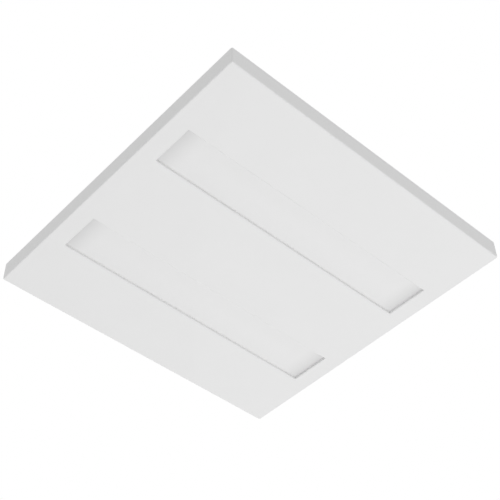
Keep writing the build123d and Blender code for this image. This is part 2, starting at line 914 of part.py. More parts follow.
def driver_base():
    """The steel base plate of the driver, with an ear at each end and posts for its circuit board."""
    z = (driver_plate_z, tray_under_z)
    shape = block(around(driver_x, driver_length + 2 * driver_ear), around(0, driver_width), z)
    shape = fillet(upright_edges(shape), driver_corner_radius)
    for x in around(driver_x, driver_length - 2 * driver_post_setback_x):
        for y in around(0, driver_width - 2 * driver_post_setback_y):
            shape += post(x, y, (driver_board_top_z, driver_plate_z), driver_post_radius)
    for x in driver_screw_places():
        shape -= post(x, 0, grown(z, cut_past), driver_screw_radius + seat_clearance)
    return shape


def terminal_rows():
    """The driver's two rows of terminals: poles, pitch, wire radius, X of the driver's end, and way out."""
    return [
        (driver_output_poles, lead_pitch, lead_radius, output_end_x, -1),
        (driver_input_poles, mains_pitch, mains_wire_radius, input_end_x, 1),
    ]


def terminal_row_width(poles, pitch):
    """The width of a row of driver terminals."""
    return poles * pitch + 2 * moulding_chamfer


def driver_cover():
    """The moulded cover of the driver, with an opening in each end wall for the terminals."""
    shape = block(around(driver_x, driver_length), around(0, driver_width), (driver_low_z, driver_plate_z))
    shape = fillet(upright_edges(shape), driver_edge_radius)
    shape = fillet(low_rim(shape), driver_edge_radius)
    inside_x = around(driver_x, driver_length - 2 * driver_wall)
    inside_y = around(0, driver_width - 2 * driver_wall)
    shape -= block(inside_x, inside_y, (driver_low_z + driver_wall, driver_plate_z + cut_past))
    opening_z = grown((driver_board_low_z - driver_terminal_height, driver_board_low_z), seat_clearance)
    for poles, pitch, _, end_x, _ in terminal_rows():
        opening_y = around(0, terminal_row_width(poles, pitch) + 2 * seat_clearance)
        shape -= block(around(end_x, 4 * driver_wall), opening_y, opening_z)
    return shape


def driver_terminals():
    """The push-in terminals at the two ends of the driver."""
    rows = []
    for poles, pitch, radius, end_x, way_out in terminal_rows():
        width = around(0, terminal_row_width(poles, pitch))
        z = (driver_board_low_z - driver_terminal_height, driver_board_low_z)
        row = block(beyond(end_x, -way_out, 0, driver_terminal_length), width, z)
        for pole in range(poles):
            y = (pole - (poles - 1) / 2) * pitch
            hole = beyond(end_x, -way_out, -cut_past, driver_terminal_hole)
            row -= rod_x(hole, y, lead_z, radius + seat_clearance)
        rows.append(row)
    return all_of(rows)


def driver_circuit_board():
    """The circuit board inside the driver."""
    margin = driver_wall + driver_board_margin
    length = around(driver_x, driver_length - 2 * margin)
    width = around(0, driver_width - 2 * margin)
    return block(length, width, (driver_board_low_z, driver_board_top_z))


def driver_components():
    """A transformer, a choke, two capacitors, a fuse and a heat sink under the driver's circuit board."""
    top_z = driver_board_low_z
    core_y = around(0, transformer_width)
    core = block(around(driver_x, transformer_length), core_y, (component_low_z, top_z))
    bobbin_z = (component_low_z + bobbin_relief, top_z)
    transformer = core + block(around(driver_x, bobbin_length), around(0, bobbin_width), bobbin_z)
    choke_z = (component_low_z + choke_relief, top_z)
    choke_x = around(driver_x + choke_place * driver_length, choke_length)
    choke = block(choke_x, around(0, choke_width), choke_z)
    radius = min(capacitor_radius, (top_z - component_low_z) / 2)
    cans = []
    for place in capacitor_places:
        can_x = driver_x + place * driver_length
        can = rod_y(can_x, around(0, capacitor_length), top_z - radius, radius)
        cans.append(fillet(can.edges(), capacitor_edge_radius))
    fuse_x = around(driver_x + fuse_place * driver_length, fuse_length)
    fuse = block(fuse_x, around(0, fuse_width), (top_z - fuse_height, top_z))
    sink_x = around(driver_x + heat_sink_place * driver_length, heat_sink_sheet)
    sink = block(sink_x, around(0, heat_sink_width), (top_z - heat_sink_height, top_z))
    return all_of([transformer, choke, *cans, fuse, sink])


def driver_screws():
    """The two screws through the driver's ears and the tray."""
    size = (driver_screw_radius, driver_screw_head_radius, driver_screw_head_height)
    tip_z = tray_top_z + screw_tip
    return all_of(pan_screw(x, 0, driver_plate_z, tip_z, *size) for x in driver_screw_places())


# Leads from the driver to the boards


def board_lead(side, is_outer):
    """One lead: straight out of the driver, one bend, and straight into the board's connector."""
    row = (driver_output_poles - 1) / 2 if is_outer else (driver_output_poles - 3) / 2
    start_x = output_end_x + driver_terminal_hole - wire_end_gap
    start_y = side * lead_pitch * row
    turn_x = outer_lead_x if is_outer else inner_lead_x
    back_y = connector_edge(side)[1]
    end_y = back_y - side * (connector_back_wall + wire_end_gap)
    points = [(start_x, start_y, lead_z), (turn_x, start_y, lead_z), (turn_x, end_y, lead_z)]
    return bent_wire(points, lead_radius, lead_bend_radius)


def lead_clips():
    """Nylon clips under the tray that hold the two leads of each side."""
    clips = []
    for side in SIDES.values():
        trough_y = window_y - trough_half_sizes(lead_z)[1]
        y = side * (driver_width / 2 + trough_y) / 2
        width = grown((inner_lead_x, outer_lead_x), lead_radius + clip_cover)
        clip = block(width, around(y, clip_length), (lead_z - lead_radius - clip_cover, tray_under_z))
        clip = chamfer(low_rim(clip), moulding_chamfer)
        for x in (outer_lead_x, inner_lead_x):
            clip -= rod_y(x, around(y, clip_length + 2 * cut_past), lead_z, lead_radius + seat_clearance)
        foot_z = (tray_under_z - clip_foot_height, tray_under_z)
        clips.append(clip + block(around(connector_x, clip_foot_length), around(y, clip_foot_width), foot_z))
    return all_of(clips)


# Mains terminal block and its wires


def block_screw_places():
    """The Y of the two screws of the terminal block."""
    reach = (block_width + block_ear) / 2
    return -reach, reach


def terminal_block():
    """The moulded three-pole block: wire holes at both sides, a well for each button, and two ears."""
    x_span = around(block_x, block_length)
    shape = block(x_span, around(0, block_width), (block_low_z, tray_under_z))
    shape = fillet(upright_edges(shape), block_corner_radius)
    shape = chamfer(low_rim(shape), moulding_chamfer)
    ears_y = around(0, block_width + 2 * block_ear)
    ears_z = (tray_under_z - block_ear_thickness, tray_under_z)
    ears = block(around(block_x, block_ear_length), ears_y, ears_z)
    shape += fillet(upright_edges(ears), block_ear_corner_radius)
    well = button_side + 2 * button_clearance
    for y in POLE_YS:
        shape -= rod_x(grown(x_span, cut_past), y, lead_z, pole_hole_radius)
        chamber_x = around(block_x, 2 * chamber_half_length)
        shape -= block(chamber_x, around(y, 2 * chamber_half_width), (chamber_floor_z, chamber_top_z))
        shape -= block(around(button_x, well), around(y, well), (block_low_z - cut_past, lead_z))
    for y in block_screw_places():
        shape -= post(block_x, y, grown((block_low_z, tray_under_z), cut_past), screw_radius + seat_clearance)
    return shape


def release_button(y):
    """A pole's release button, whose lip rests in the chamber. Pressed up, it frees the wire."""
    low_z = block_low_z - button_proud
    lip_low_z = chamber_floor_z + running_clearance
    shape = block(around(button_x, button_side), around(y, button_side), (low_z, lip_low_z))
    shape = fillet(low_rim(shape), button_edge_radius)
    lip_y = around(y, button_side + 2 * button_lip)
    shape += block(around(button_x, button_side), lip_y, (lip_low_z, lip_low_z + button_lip_height))
    slot_z = (low_z - cut_past, low_z + button_slot_depth)
    return shape - block(around(button_x, button_side / 2), around(y, button_slot_width), slot_z)


def terminal_contacts():
    """The current bar at the top of each pole's chamber."""
    length = around(block_x, 2 * (chamber_half_length - seat_clearance))
    width = 2 * (chamber_half_width - seat_clearance)
    z = (chamber_top_z - contact_sheet, chamber_top_z)
    return all_of(block(length, around(y, width), z) for y in POLE_YS)


def terminal_screws():
    """The two screws through the terminal block's ears and the tray."""
    seat_z = tray_under_z - block_ear_thickness
    return all_of(pan_screw(block_x, y, seat_z, tray_top_z + screw_tip) for y in block_screw_places())


def mains_wire(pole):
    """A wire from pole 0 or 1 of the terminal block to the driver's input."""
    block_y = POLE_YS[pole]
    driver_y = (pole - (driver_input_poles - 1) / 2) * mains_pitch
    side_x = block_x - block_length / 2
    points = [
        (side_x + pole_hole_depth - wire_end_gap, block_y, lead_z),
        (side_x - mains_straight, block_y, lead_z),
        (input_end_x + mains_straight, driver_y, lead_z),
        (input_end_x - driver_terminal_hole + wire_end_gap, driver_y, lead_z),
    ]
    return bent_wire(points, mains_wire_radius, mains_bend_radius)


def earth_wire():
    """The earth wire from the terminal block to the lug on the stud."""
    side_x = block_x - block_length / 2
    turn_x = side_x - mains_straight
    points = [
        (side_x + pole_hole_depth - wire_end_gap, POLE_YS[2], lead_z),
        (turn_x, POLE_YS[2], lead_z),
        (turn_x, stud_y, lug_barrel_z),
        (lug_barrel_end_x - lug_barrel_length + lug_barrel_floor + wire_end_gap, stud_y, lug_barrel_z),
    ]
    return bent_wire(points, mains_wire_radius, earth_bend_radius)


# Earth point


def earth_stud():
    """The stud welded under the tray."""
    shape = post(stud_x, stud_y, (washer_top_z, tray_under_z), stud_weld_radius)
    return shape + post(stud_x, stud_y, (tray_under_z - stud_length, tray_under_z), stud_radius)


def earth_washer():
    """A toothed washer between the stud's foot and the lug."""
    z = (lug_top_z, washer_top_z)
    shape = post(stud_x, stud_y, z, washer_radius)
    shape -= post(stud_x, stud_y, grown(z, cut_past), stud_radius + seat_clearance)
    gap = Pos(washer_radius, 0, 0) * Box(2 * washer_tooth_depth, washer_tooth_gap, 4 * washer_sheet)
    for tooth in range(washer_teeth):
        shape -= Pos(stud_x, stud_y, lug_top_z) * Rot(0, 0, 360 / washer_teeth * tooth) * gap
    return shape


def earth_lug():
    """The ring lug crimped to the earth wire."""
    z = (lug_top_z - lug_sheet, lug_top_z)
    shape = post(stud_x, stud_y, z, lug_radius)
    barrel_x = (lug_barrel_end_x - lug_barrel_length, lug_barrel_end_x)
    tongue_x = (stud_x, barrel_x[0] + lug_barrel_floor)
    shape += block(tongue_x, around(stud_y, 2 * lug_barrel_radius), z)
    shape += rod_x(barrel_x, stud_y, lug_barrel_z, lug_barrel_radius)
    bore_x = (barrel_x[0] + lug_barrel_floor, barrel_x[1] + cut_past)
    shape -= rod_x(bore_x, stud_y, lug_barrel_z, mains_wire_radius + seat_clearance)
    return shape - post(stud_x, stud_y, grown(z, cut_past), stud_radius + seat_clearance)


def earth_nut():
    """The hexagon nut on the stud."""
    z = (lug_top_z - lug_sheet - nut_height, lug_top_z - lug_sheet)
    outline = RegularPolygon(nut_across_flats / 2, 6, major_radius=False)
    shape = extrude(Pos(stud_x, stud_y, z[0]) * outline, nut_height)
    return shape - post(stud_x, stud_y, grown(z, cut_past), stud_radius + running_clearance)


# Cable entry


def grommet_body(x):
    """A rubber body that fits one entry hole, with a flange above and below the tray's plate."""
    flange_radius = entry_hole_radius + grommet_flange
    upper = post(x, 0, (tray_top_z, tray_top_z + grommet_upper), flange_radius)
    lower = post(x, 0, (tray_under_z - grommet_lower, tray_under_z), flange_radius)
    neck = post(x, 0, (tray_under_z, tray_top_z), entry_hole_radius - running_clearance)
    return fillet(high_rim(upper), grommet_edge_radius) + neck + fillet(low_rim(lower), grommet_edge_radius)


def cable_grommet():
    """The rubber grommet that the mains cable comes in through."""
    z = (tray_under_z - grommet_lower, tray_top_z + grommet_upper)
    return grommet_body(entry_x) - post(entry_x, 0, grown(z, cut_past), entry_bore_radius)


def blanking_plug():
    """The rubber plug that closes the spare entry, dished from below."""
    dish_z = (tray_under_z - grommet_lower - cut_past, tray_top_z)
    return grommet_body(spare_entry_x) - post(spare_entry_x, 0, dish_z, entry_hole_radius - plug_rim)


def clamp_screw_places():
    """The Y of the two screws of the cord clamp."""
    reach = clamp_cable_radius + clamp_wall + clamp_ear / 2
    return -reach, reach


def cable_clamp():
    """The moulded saddle that grips the mains cable against the tray."""
    x_span = around(clamp_x, clamp_length)
    outer = clamp_cable_radius + clamp_wall
    arch_z = tray_under_z - clamp_cable_radius
    arch = rod_x(x_span, 0, arch_z, outer) & block(x_span, (-outer, outer), (arch_z - outer, arch_z))
    shape = arch + block(x_span, (-outer, outer), (arch_z, tray_under_z))
    ears_y = grown((-outer, outer), clamp_ear)
    ears = block(x_span, ears_y, (tray_under_z - clamp_wall, tray_under_z))
    shape += fillet(upright_edges(ears), clamp_corner_radius)
    inner_x = grown(x_span, cut_past)
    shape -= block(inner_x, (-clamp_cable_radius, clamp_cable_radius), (arch_z, tray_under_z + cut_past))
    shape -= rod_x(inner_x, 0, arch_z, clamp_cable_radius)
    ear_z = (tray_under_z - clamp_wall, tray_under_z)
    for y in clamp_screw_places():
        shape -= post(clamp_x, y, grown(ear_z, cut_past), screw_radius + seat_clearance)
    return shape


def cable_clamp_screws():
    """The two screws of the cord clamp."""
    seat_z = tray_under_z - clamp_wall
    return all_of(pan_screw(clamp_x, y, seat_z, tray_top_z + screw_tip) for y in clamp_screw_places())


def single_nodes():
    """The sub-parts that the light has once, or whose copies share one node."""
    return {
        "front_cover": front_cover(),
        "diffuser_end_stops": diffuser_end_stops(),
        "base_tray": base_tray(),
        "hinge_rivets": hinge_rivets(),
        "catch_rivets": catch_rivets(),
        "carrier_rivets": carrier_rivets(),
        "board_screws": board_screws(),
        "board_links": board_links(),
        "board_connectors": board_connectors(),
        "trough_push_rivets": push_rivets(),
        "driver_base": driver_base(),
        "driver_cover": driver_cover(),
        "driver_circuit_board": driver_circuit_board(),
        "driver_components": driver_components(),
        "driver_terminals": driver_terminals(),
        "driver_screws": driver_screws(),
        "lead_clips": lead_clips(),
        "terminal_block": terminal_block(),
        "terminal_contacts": terminal_contacts(),
        "terminal_screws": terminal_screws(),
        "wire_live": mains_wire(0),
        "wire_neutral": mains_wire(1),
        "wire_earth": earth_wire(),
        "earth_stud": earth_stud(),
        "earth_washer": earth_washer(),
        "earth_lug": earth_lug(),
        "earth_nut": earth_nut(),
        "cable_grommet": cable_grommet(),
        "blanking_plug": blanking_plug(),
        "cable_clamp": cable_clamp(),
        "cable_clamp_screws": cable_clamp_screws(),
    }


def repeated_nodes():
    """The sub-parts that the light has once for each pole, end, side or board."""
    made = {}
    for pole, y in zip(("live", "neutral", "earth"), POLE_YS):
        made[f"release_button_{pole}"] = release_button(y)
    for name, end in ENDS.items():
        made[f"hinge_cover_leaf_{name}"] = hinge_cover_leaf(end * hinge_spacing / 2)
        made[f"hinge_base_leaf_{name}"] = hinge_base_leaf(end * hinge_spacing / 2)
        made[f"hinge_pin_{name}"] = hinge_pin(end * hinge_spacing / 2)
        made[f"spring_catch_{name}"] = spring_catch(end * catch_spacing / 2)
    for name, side in SIDES.items():
        made[f"diffuser_{name}"] = diffuser(side)
        made[f"diffuser_rails_{name}"] = diffuser_rails(side)
        made[f"led_carrier_{name}"] = led_carrier(side)
        made[f"white_trough_{name}"] = white_trough(side)
        made[f"led_packages_{name}"] = led_packages(side)
        made[f"lead_positive_{name}"] = board_lead(side, True)
        made[f"lead_negative_{name}"] = board_lead(side, False)
        for letter, piece in PIECES.items():
            made[f"led_board_{name}_{letter}"] = led_board(side, piece)
    return made


os.makedirs("parts", exist_ok=True)
nodes = {**single_nodes(), **repeated_nodes()}
for node, shape in nodes.items():
    export_step(shape, os.path.join("parts", node + ".step"))
print(len(nodes), "sub-parts written")
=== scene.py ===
# %% [markdown]
# A square ceiling light, dressed for the camera
#
# The object is a flat ceiling light of white folded steel. Its face has two long windows with opal
# plates behind them. Inside are a galvanised tray, boards with light-emitting diodes, a driver, a
# terminal block and the wires. The construction comes in as a fixed frame of named solids. This
# lesson gives each of them the finish of the real one, and works out with numpy the pieces whose
# look needs a finer mesh than the construction has.

# %% The frame
import json

import bpy
import numpy as np
from mathutils import Matrix, Vector

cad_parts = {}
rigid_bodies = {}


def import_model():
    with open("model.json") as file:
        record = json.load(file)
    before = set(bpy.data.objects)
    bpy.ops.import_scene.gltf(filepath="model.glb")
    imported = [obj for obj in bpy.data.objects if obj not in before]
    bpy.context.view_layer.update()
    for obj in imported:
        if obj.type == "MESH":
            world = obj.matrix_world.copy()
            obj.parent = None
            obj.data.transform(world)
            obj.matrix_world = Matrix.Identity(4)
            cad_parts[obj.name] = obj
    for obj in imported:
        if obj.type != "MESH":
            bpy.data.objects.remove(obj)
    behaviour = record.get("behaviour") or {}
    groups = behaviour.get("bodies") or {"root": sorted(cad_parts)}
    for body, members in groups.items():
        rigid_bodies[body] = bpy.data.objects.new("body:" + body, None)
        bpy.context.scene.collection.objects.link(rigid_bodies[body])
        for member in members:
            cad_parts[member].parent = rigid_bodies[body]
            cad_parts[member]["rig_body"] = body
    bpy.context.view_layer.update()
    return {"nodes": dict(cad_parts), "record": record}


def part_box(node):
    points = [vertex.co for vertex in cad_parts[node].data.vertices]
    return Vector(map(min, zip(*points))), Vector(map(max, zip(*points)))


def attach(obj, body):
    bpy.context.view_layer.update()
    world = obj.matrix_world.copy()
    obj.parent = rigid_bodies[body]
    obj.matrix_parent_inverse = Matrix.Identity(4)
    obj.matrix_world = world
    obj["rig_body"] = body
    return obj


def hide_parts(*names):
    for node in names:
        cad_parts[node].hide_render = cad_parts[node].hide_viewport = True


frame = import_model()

MM = 0.001

# %% [markdown]
# Colours
#
# A paint chart or a screen gives a colour as a hex value in sRGB, where the steps are spaced for
# the eye. The shaders count light itself, so each value goes through one function that turns it to
# linear. Writing the numbers in by hand as linear ones would work as well, but nobody could check
# them against a chart.


# %% From a written colour to linear light
def linear(written):
    """The linear red, green, blue and alpha of a colour such as "#EDEDEB".

    Each channel c, from 0 to 1, becomes c / 12.92 up to 0.04045, and above that
    ((c + 0.055) / 1.055) to the power 2.4.
    """
    c = np.array([int(written[i : i + 2], 16) for i in (1, 3, 5)]) / 255
    light = np.where(c <= 0.04045, c / 12.92, ((c + 0.055) / 1.055) ** 2.4)
    return (*light.tolist(), 1.0)


print("mid grey #808080 is", round(linear("#808080")[0], 3), "of full light")

# %% [markdown]
# Node trees
#
# A material is a small graph: places go in, patterns come out, and a shader takes them as colour,
# roughness and bump. Blender could copy a ready-made material, but a graph that is written out
# shows why each value is there. One helper adds a node with its settings and links, and another
# begins a material for one of the slots that the construction names. Every pattern reads Object
# coordinates, which are the frame's own metres, so a grain keeps its real size on every piece.


# %% Adding a node, and beginning a finish
def add(tree, kind, inputs=None, **settings):
    """Add a node: settings are its own options, and inputs are values or links for its sockets."""
    node = tree.nodes.new(kind)
    for name, value in settings.items():
        setattr(node, name, value)
    for socket, value in (inputs or {}).items():
        if isinstance(value, bpy.types.NodeSocket):
            tree.links.new(value, node.inputs[socket])
        else:
            node.inputs[socket].default_value = value
    return node


finishes = {}


def begin(slot, name):
    """Enter a new material under its slot, and give its graph and the socket with the places."""
    material = bpy.data.materials.new(name)
    material.use_nodes = True
    material.node_tree.nodes.clear()
    finishes[slot] = material
    print(f"{slot}: {name}")
    return material.node_tree, add(material.node_tree, "ShaderNodeTexCoord").outputs["Object"]


def per_metre(millimetres):
    """The scale at which a pattern repeats about once in a length given in millimetres."""
    return 1 / (millimetres * MM)


print("a 2 mm grain has a scale of", per_metre(2))

# %% [markdown]
# Powder coat on the cover
#
# The cover is steel sheet, sprayed with a dry polyester powder and baked. The powder melts into a
# skin a tenth of a millimetre thick that never lies quite flat: it has a faint orange peel, and a
# satin sheen that is broad and soft. Flat white would look like paper. Two noises give the skin: a
# fine one bumps the surface, and a broad one changes its tint and its sheen a little, as spraying
# by hand does. The peel is about 1.5 mm from crest to crest, too fine to show from afar, so it is
# drawn at 3 mm.

# %% White powder coat: a clean neutral white with a soft, wide highlight
peel_size = 3.0
spray_size = 70.0
tree, place = begin("white_powder_coat", "white_powder_coat_on_steel")
peel = add(tree, "ShaderNodeTexNoise", {
    "Vector": place, "Scale": per_metre(peel_size), "Detail": 2.0,
})
bump = add(tree, "ShaderNodeBump", {
    "Height": peel.outputs["Fac"], "Distance": 0.02 * MM, "Strength": 0.6,
})
spray = add(tree, "ShaderNodeTexNoise", {
    "Vector": place, "Scale": per_metre(spray_size), "Detail": 3.0,
})
sheen = add(tree, "ShaderNodeMapRange", {
    "Value": spray.outputs["Fac"], "To Min": 0.4, "To Max": 0.5,
})
tint = add(tree, "ShaderNodeValToRGB", {"Fac": spray.outputs["Fac"]})
tint.color_ramp.elements[0].color = linear("#EBEBEB")
tint.color_ramp.elements[1].color = linear("#EEEEEE")
shader = add(tree, "ShaderNodeBsdfPrincipled", {
    "Base Color": tint.outputs["Color"],
    "Roughness": sheen.outputs["Result"],
    "IOR": 1.5,
    "Normal": bump.outputs["Normal"],
})
add(tree, "ShaderNodeOutputMaterial", {"Surface": shader.outputs["BSDF"]})

# %% [markdown]
# Opal acrylic
#
# Each diffuser is cast acrylic filled with a fine white pigment. It scatters light inside itself,
# so it looks like milk glass with a satin face. The photograph shows it darker at its ends, and
# paling over about 50 mm. A likely cause is that the rows of diodes stop 37 mm short of the
# window's ends, but that is a guess. A real glass shader would need the whole light path behind
# the plate, at a high price in noise. Here the shader scatters under the surface, and the darker
# ends are painted shade: a gradient of colour in Object coordinates, which stays on the plate in
# every view. With x and y from the middle of the window, s is how far |x| goes past the last half
# width, and r is the length of (s, pull * y). The painted shade darkens the plate by
# exp((r - half width) / fade), so its pale part ends round.

# %% The window, and how far round an end a place on the plate lies
window_half_length = 266.0
window_half_width = 40.0
end_shade_fade = 22.0
long_edge_pull = 0.2

low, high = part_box("diffuser_hinge_side")
window_middle_y = (low.y + high.y) / 2
print("window middle at y =", round(window_middle_y / MM, 1), "mm")

tree, place = begin("opal_acrylic", "opal_acrylic")
axes = add(tree, "ShaderNodeSeparateXYZ", {"Vector": place})
along = add(tree, "ShaderNodeMath", {0: axes.outputs["X"]}, operation="ABSOLUTE")
past = add(tree, "ShaderNodeMath", {
    0: along.outputs[0], 1: (window_half_length - window_half_width) * MM,
}, operation="SUBTRACT")
s = add(tree, "ShaderNodeMath", {0: past.outputs[0], 1: 0.0}, operation="MAXIMUM")
row = add(tree, "ShaderNodeMath", {0: axes.outputs["Y"]}, operation="ABSOLUTE")
y = add(tree, "ShaderNodeMath", {
    0: row.outputs[0], 1: window_middle_y,
}, operation="SUBTRACT")
pulled = add(tree, "ShaderNodeMath", {0: y.outputs[0], 1: long_edge_pull}, operation="MULTIPLY")
reach = add(tree, "ShaderNodeCombineXYZ", {"X": s.outputs[0], "Y": pulled.outputs[0]})
r = add(tree, "ShaderNodeVectorMath", {0: reach.outputs[0]}, operation="LENGTH")
over = add(tree, "ShaderNodeMath", {
    0: r.outputs["Value"], 1: window_half_width * MM,
}, operation="SUBTRACT")
fades = add(tree, "ShaderNodeMath", {0: over.outputs[0], 1: end_shade_fade * MM}, operation="DIVIDE")
# Painted shade: 1 at the plate's rounded ends and past them, falling off inwards, as the share of
# darker grey
shade = add(tree, "ShaderNodeMath", {0: fades.outputs[0]}, operation="EXPONENT", use_clamp=True)

# %% Opal acrylic: as pale as the paint over the trough, with painted shade greying its ends
# The plate's colour is mixed from its own pale grey and a darker grey of painted shade
tint = add(tree, "ShaderNodeMix", {
    0: shade.outputs[0], 6: linear("#F2F2F2"), 7: linear("#D8D8D8"),
}, data_type="RGBA")
grain = add(tree, "ShaderNodeTexNoise", {"Vector": place, "Scale": per_metre(1.2), "Detail": 1.0})
bump = add(tree, "ShaderNodeBump", {
    "Height": grain.outputs["Fac"], "Distance": 0.01 * MM, "Strength": 0.5,
})
shader = add(tree, "ShaderNodeBsdfPrincipled", {
    "Base Color": tint.outputs[2],
    "Roughness": 0.38,
    "IOR": 1.49,
    "Subsurface Weight": 0.25,
    "Subsurface Radius": (1.0, 1.0, 1.0),
    "Subsurface Scale": 1.2 * MM,
    "Normal": bump.outputs["Normal"],
})
add(tree, "ShaderNodeOutputMaterial", {"Surface": shader.outputs["BSDF"]})
print("the plate pales over", 2 * end_shade_fade, "mm from each end")

# %% [markdown]
# Galvanised steel
#
# The tray is stamped from sheet that went through a bath of molten zinc. As the zinc set, its
# crystals grew into flat patches with ragged edges, the spangle. Each crystal lies at its own
# angle, so it catches the light a little before or after its neighbours, and fine ribs run across
# it where its arms grew. Colour alone looks like camouflage paint. So each Voronoi cell is tilted
# by a few degrees instead: its height is the distance from the cell's middle along the cell's own
# heading, and a noise that counts along the same heading draws the ribs. That height is in metres
# already, so the bump's own distance says how steep it stands, as a slope. The ribs are about
# 0.3 mm apart on the real sheet and are drawn at 0.9 mm.

# %% Crystals with ragged edges
crystal_size = 8.0
crystal_tilt = 0.06
rib_size = 0.9
rib_height = 0.25
ragged_size = 5.0
ragged_reach = 3.0
tree, place = begin("galvanised_steel", "hot_dip_galvanised_sheet")
ragged = add(tree, "ShaderNodeTexNoise", {
    "Vector": place, "Scale": per_metre(ragged_size), "Detail": 3.0,
})
bent = add(tree, "ShaderNodeVectorMath", {
    0: ragged.outputs["Color"], 1: [ragged_reach * MM] * 3, 2: place,
}, operation="MULTIPLY_ADD")
crystals = add(tree, "ShaderNodeTexVoronoi", {
    "Vector": bent.outputs[0], "Scale": per_metre(crystal_size),
})
away = add(tree, "ShaderNodeVectorMath", {
    0: bent.outputs[0], 1: crystals.outputs["Position"],
}, operation="SUBTRACT")
heading = add(tree, "ShaderNodeVectorMath", {
    0: crystals.outputs["Color"], 1: (2.0, 2.0, 2.0), 2: (-1.0, -1.0, -1.0),
}, operation="MULTIPLY_ADD")
slope = add(tree, "ShaderNodeVectorMath", {
    0: away.outputs[0], 1: heading.outputs[0],
}, operation="DOT_PRODUCT")

# %% Hot-dip galvanised sheet: mid grey metal, mottled by tilted crystals
count = add(tree, "ShaderNodeMath", {
    0: slope.outputs["Value"], 1: per_metre(rib_size),
}, operation="MULTIPLY")
ribs = add(tree, "ShaderNodeTexNoise", {"W": count.outputs[0], "Detail": 1.0},
           noise_dimensions="1D")
height = add(tree, "ShaderNodeMath", {
    0: ribs.outputs["Fac"], 1: rib_height * MM, 2: slope.outputs["Value"],
}, operation="MULTIPLY_ADD")
bump = add(tree, "ShaderNodeBump", {
    "Height": height.outputs[0], "Distance": crystal_tilt, "Strength": 0.8,
})
patch = add(tree, "ShaderNodeSeparateColor", {"Color": crystals.outputs["Color"]})
tint = add(tree, "ShaderNodeValToRGB", {"Fac": patch.outputs["Red"]})
tint.color_ramp.elements[0].color = linear("#ABB0B3")
tint.color_ramp.elements[1].color = linear("#BBBFC2")
rough = add(tree, "ShaderNodeMapRange", {
    "Value": patch.outputs["Green"], "To Min": 0.36, "To Max": 0.46,
})
shader = add(tree, "ShaderNodeBsdfPrincipled", {
    "Base Color": tint.outputs["Color"],
    "Metallic": 1.0,
    "Roughness": rough.outputs["Result"],
    "Normal": bump.outputs["Normal"],
})
add(tree, "ShaderNodeOutputMaterial", {"Surface": shader.outputs["BSDF"]})
print("crystals about", crystal_size, "mm wide")

# %% [markdown]
# Plated and rolled metals
#
# The other metals differ mainly in tint, in how rough they are and in which way their grain runs. A
# screw that is zinc plated in a barrel has no direction at all. Rolled aluminium and spring strip
# have fine lines along the sheet, which stretch the highlight. So one function makes them all from
# a tint, a roughness and the length of the grain along each axis, and each metal is a line of
# values with its own reason. Metals keep Blender's own IOR.


# %% Bright zinc plate: pale and faintly blue, with a soft mottle from the barrel and no direction
sheen_spread = 0.06


def metal(slot, name, dark, light, roughness, grain):
    """A bare metal. The grain is the size of its noise in millimetres along X, Y and Z."""
    tree, place = begin(slot, name)
    stretch = add(tree, "ShaderNodeMapping", {
        "Vector": place, "Scale": [per_metre(size) for size in grain],
    })
    lines = add(tree, "ShaderNodeTexNoise", {
        "Vector": stretch.outputs[0], "Scale": 1.0, "Detail": 4.0,
    })
    tint = add(tree, "ShaderNodeValToRGB", {"Fac": lines.outputs["Fac"]})
    tint.color_ramp.elements[0].position = 0.3
    tint.color_ramp.elements[0].color = linear(dark)
    tint.color_ramp.elements[1].position = 0.7
    tint.color_ramp.elements[1].color = linear(light)
    rough = add(tree, "ShaderNodeMapRange", {
        "Value": lines.outputs["Fac"],
        "To Min": roughness - sheen_spread,
        "To Max": roughness + sheen_spread,
    })
    bump = add(tree, "ShaderNodeBump", {
        "Height": lines.outputs["Fac"], "Distance": 0.01 * MM, "Strength": 0.4,
    })
    shader = add(tree, "ShaderNodeBsdfPrincipled", {
        "Base Color": tint.outputs["Color"],
        "Metallic": 1.0,
        "Roughness": rough.outputs["Result"],
        "Normal": bump.outputs["Normal"],
    })
    add(tree, "ShaderNodeOutputMaterial", {"Surface": shader.outputs["BSDF"]})


metal("zinc_steel", "bright_zinc_plated_steel", "#BBC0C5", "#CACFD3", 0.34, (5, 5, 5))

# %% Spring steel: darker and glossier than the sheet, with rolling lines along the strip
metal("spring_steel", "tempered_spring_steel", "#94979A", "#A3A6A8", 0.28, (0.9, 30, 30))

# %% Mill aluminium: light and warm beside the zinc, with long rolling lines along X
metal("aluminium_sheet", "mill_finish_aluminium", "#BFC1C2", "#D3D4D4", 0.38, (60, 0.8, 0.8))

# %% Tinned copper: bright, very slightly warm, and a little wavy where the tin ran
metal("copper_tinned", "tinned_copper", "#BDB8AE", "#D3CEC5", 0.28, (1.5, 1.5, 1.5))

# %% Turned brass: yellow, with rings from the lathe that show only as a soft gloss
metal("brass_stud", "turned_brass", "#C09A45", "#D3B060", 0.27, (2, 2, 0.5))

# %% [markdown]
# Moulded plastics
#
# Most of the small parts are moulded. The mould's steel is spark-eroded or polished, and the
# plastic copies it: a fine grain with a soft sheen, or a smooth gloss. Where the melt flowed and
# where fingers have been, tint and sheen change a little. Nylon and polycarbonate also let some
# light in, which rounds their edges to the eye. One function takes two close tints, the roughness,
# the size of the grain and how far light goes in. Each plastic says what it is.


# %% Reflector polycarbonate: foamed white film, chalky and almost without a highlight
flow_size = 14.0


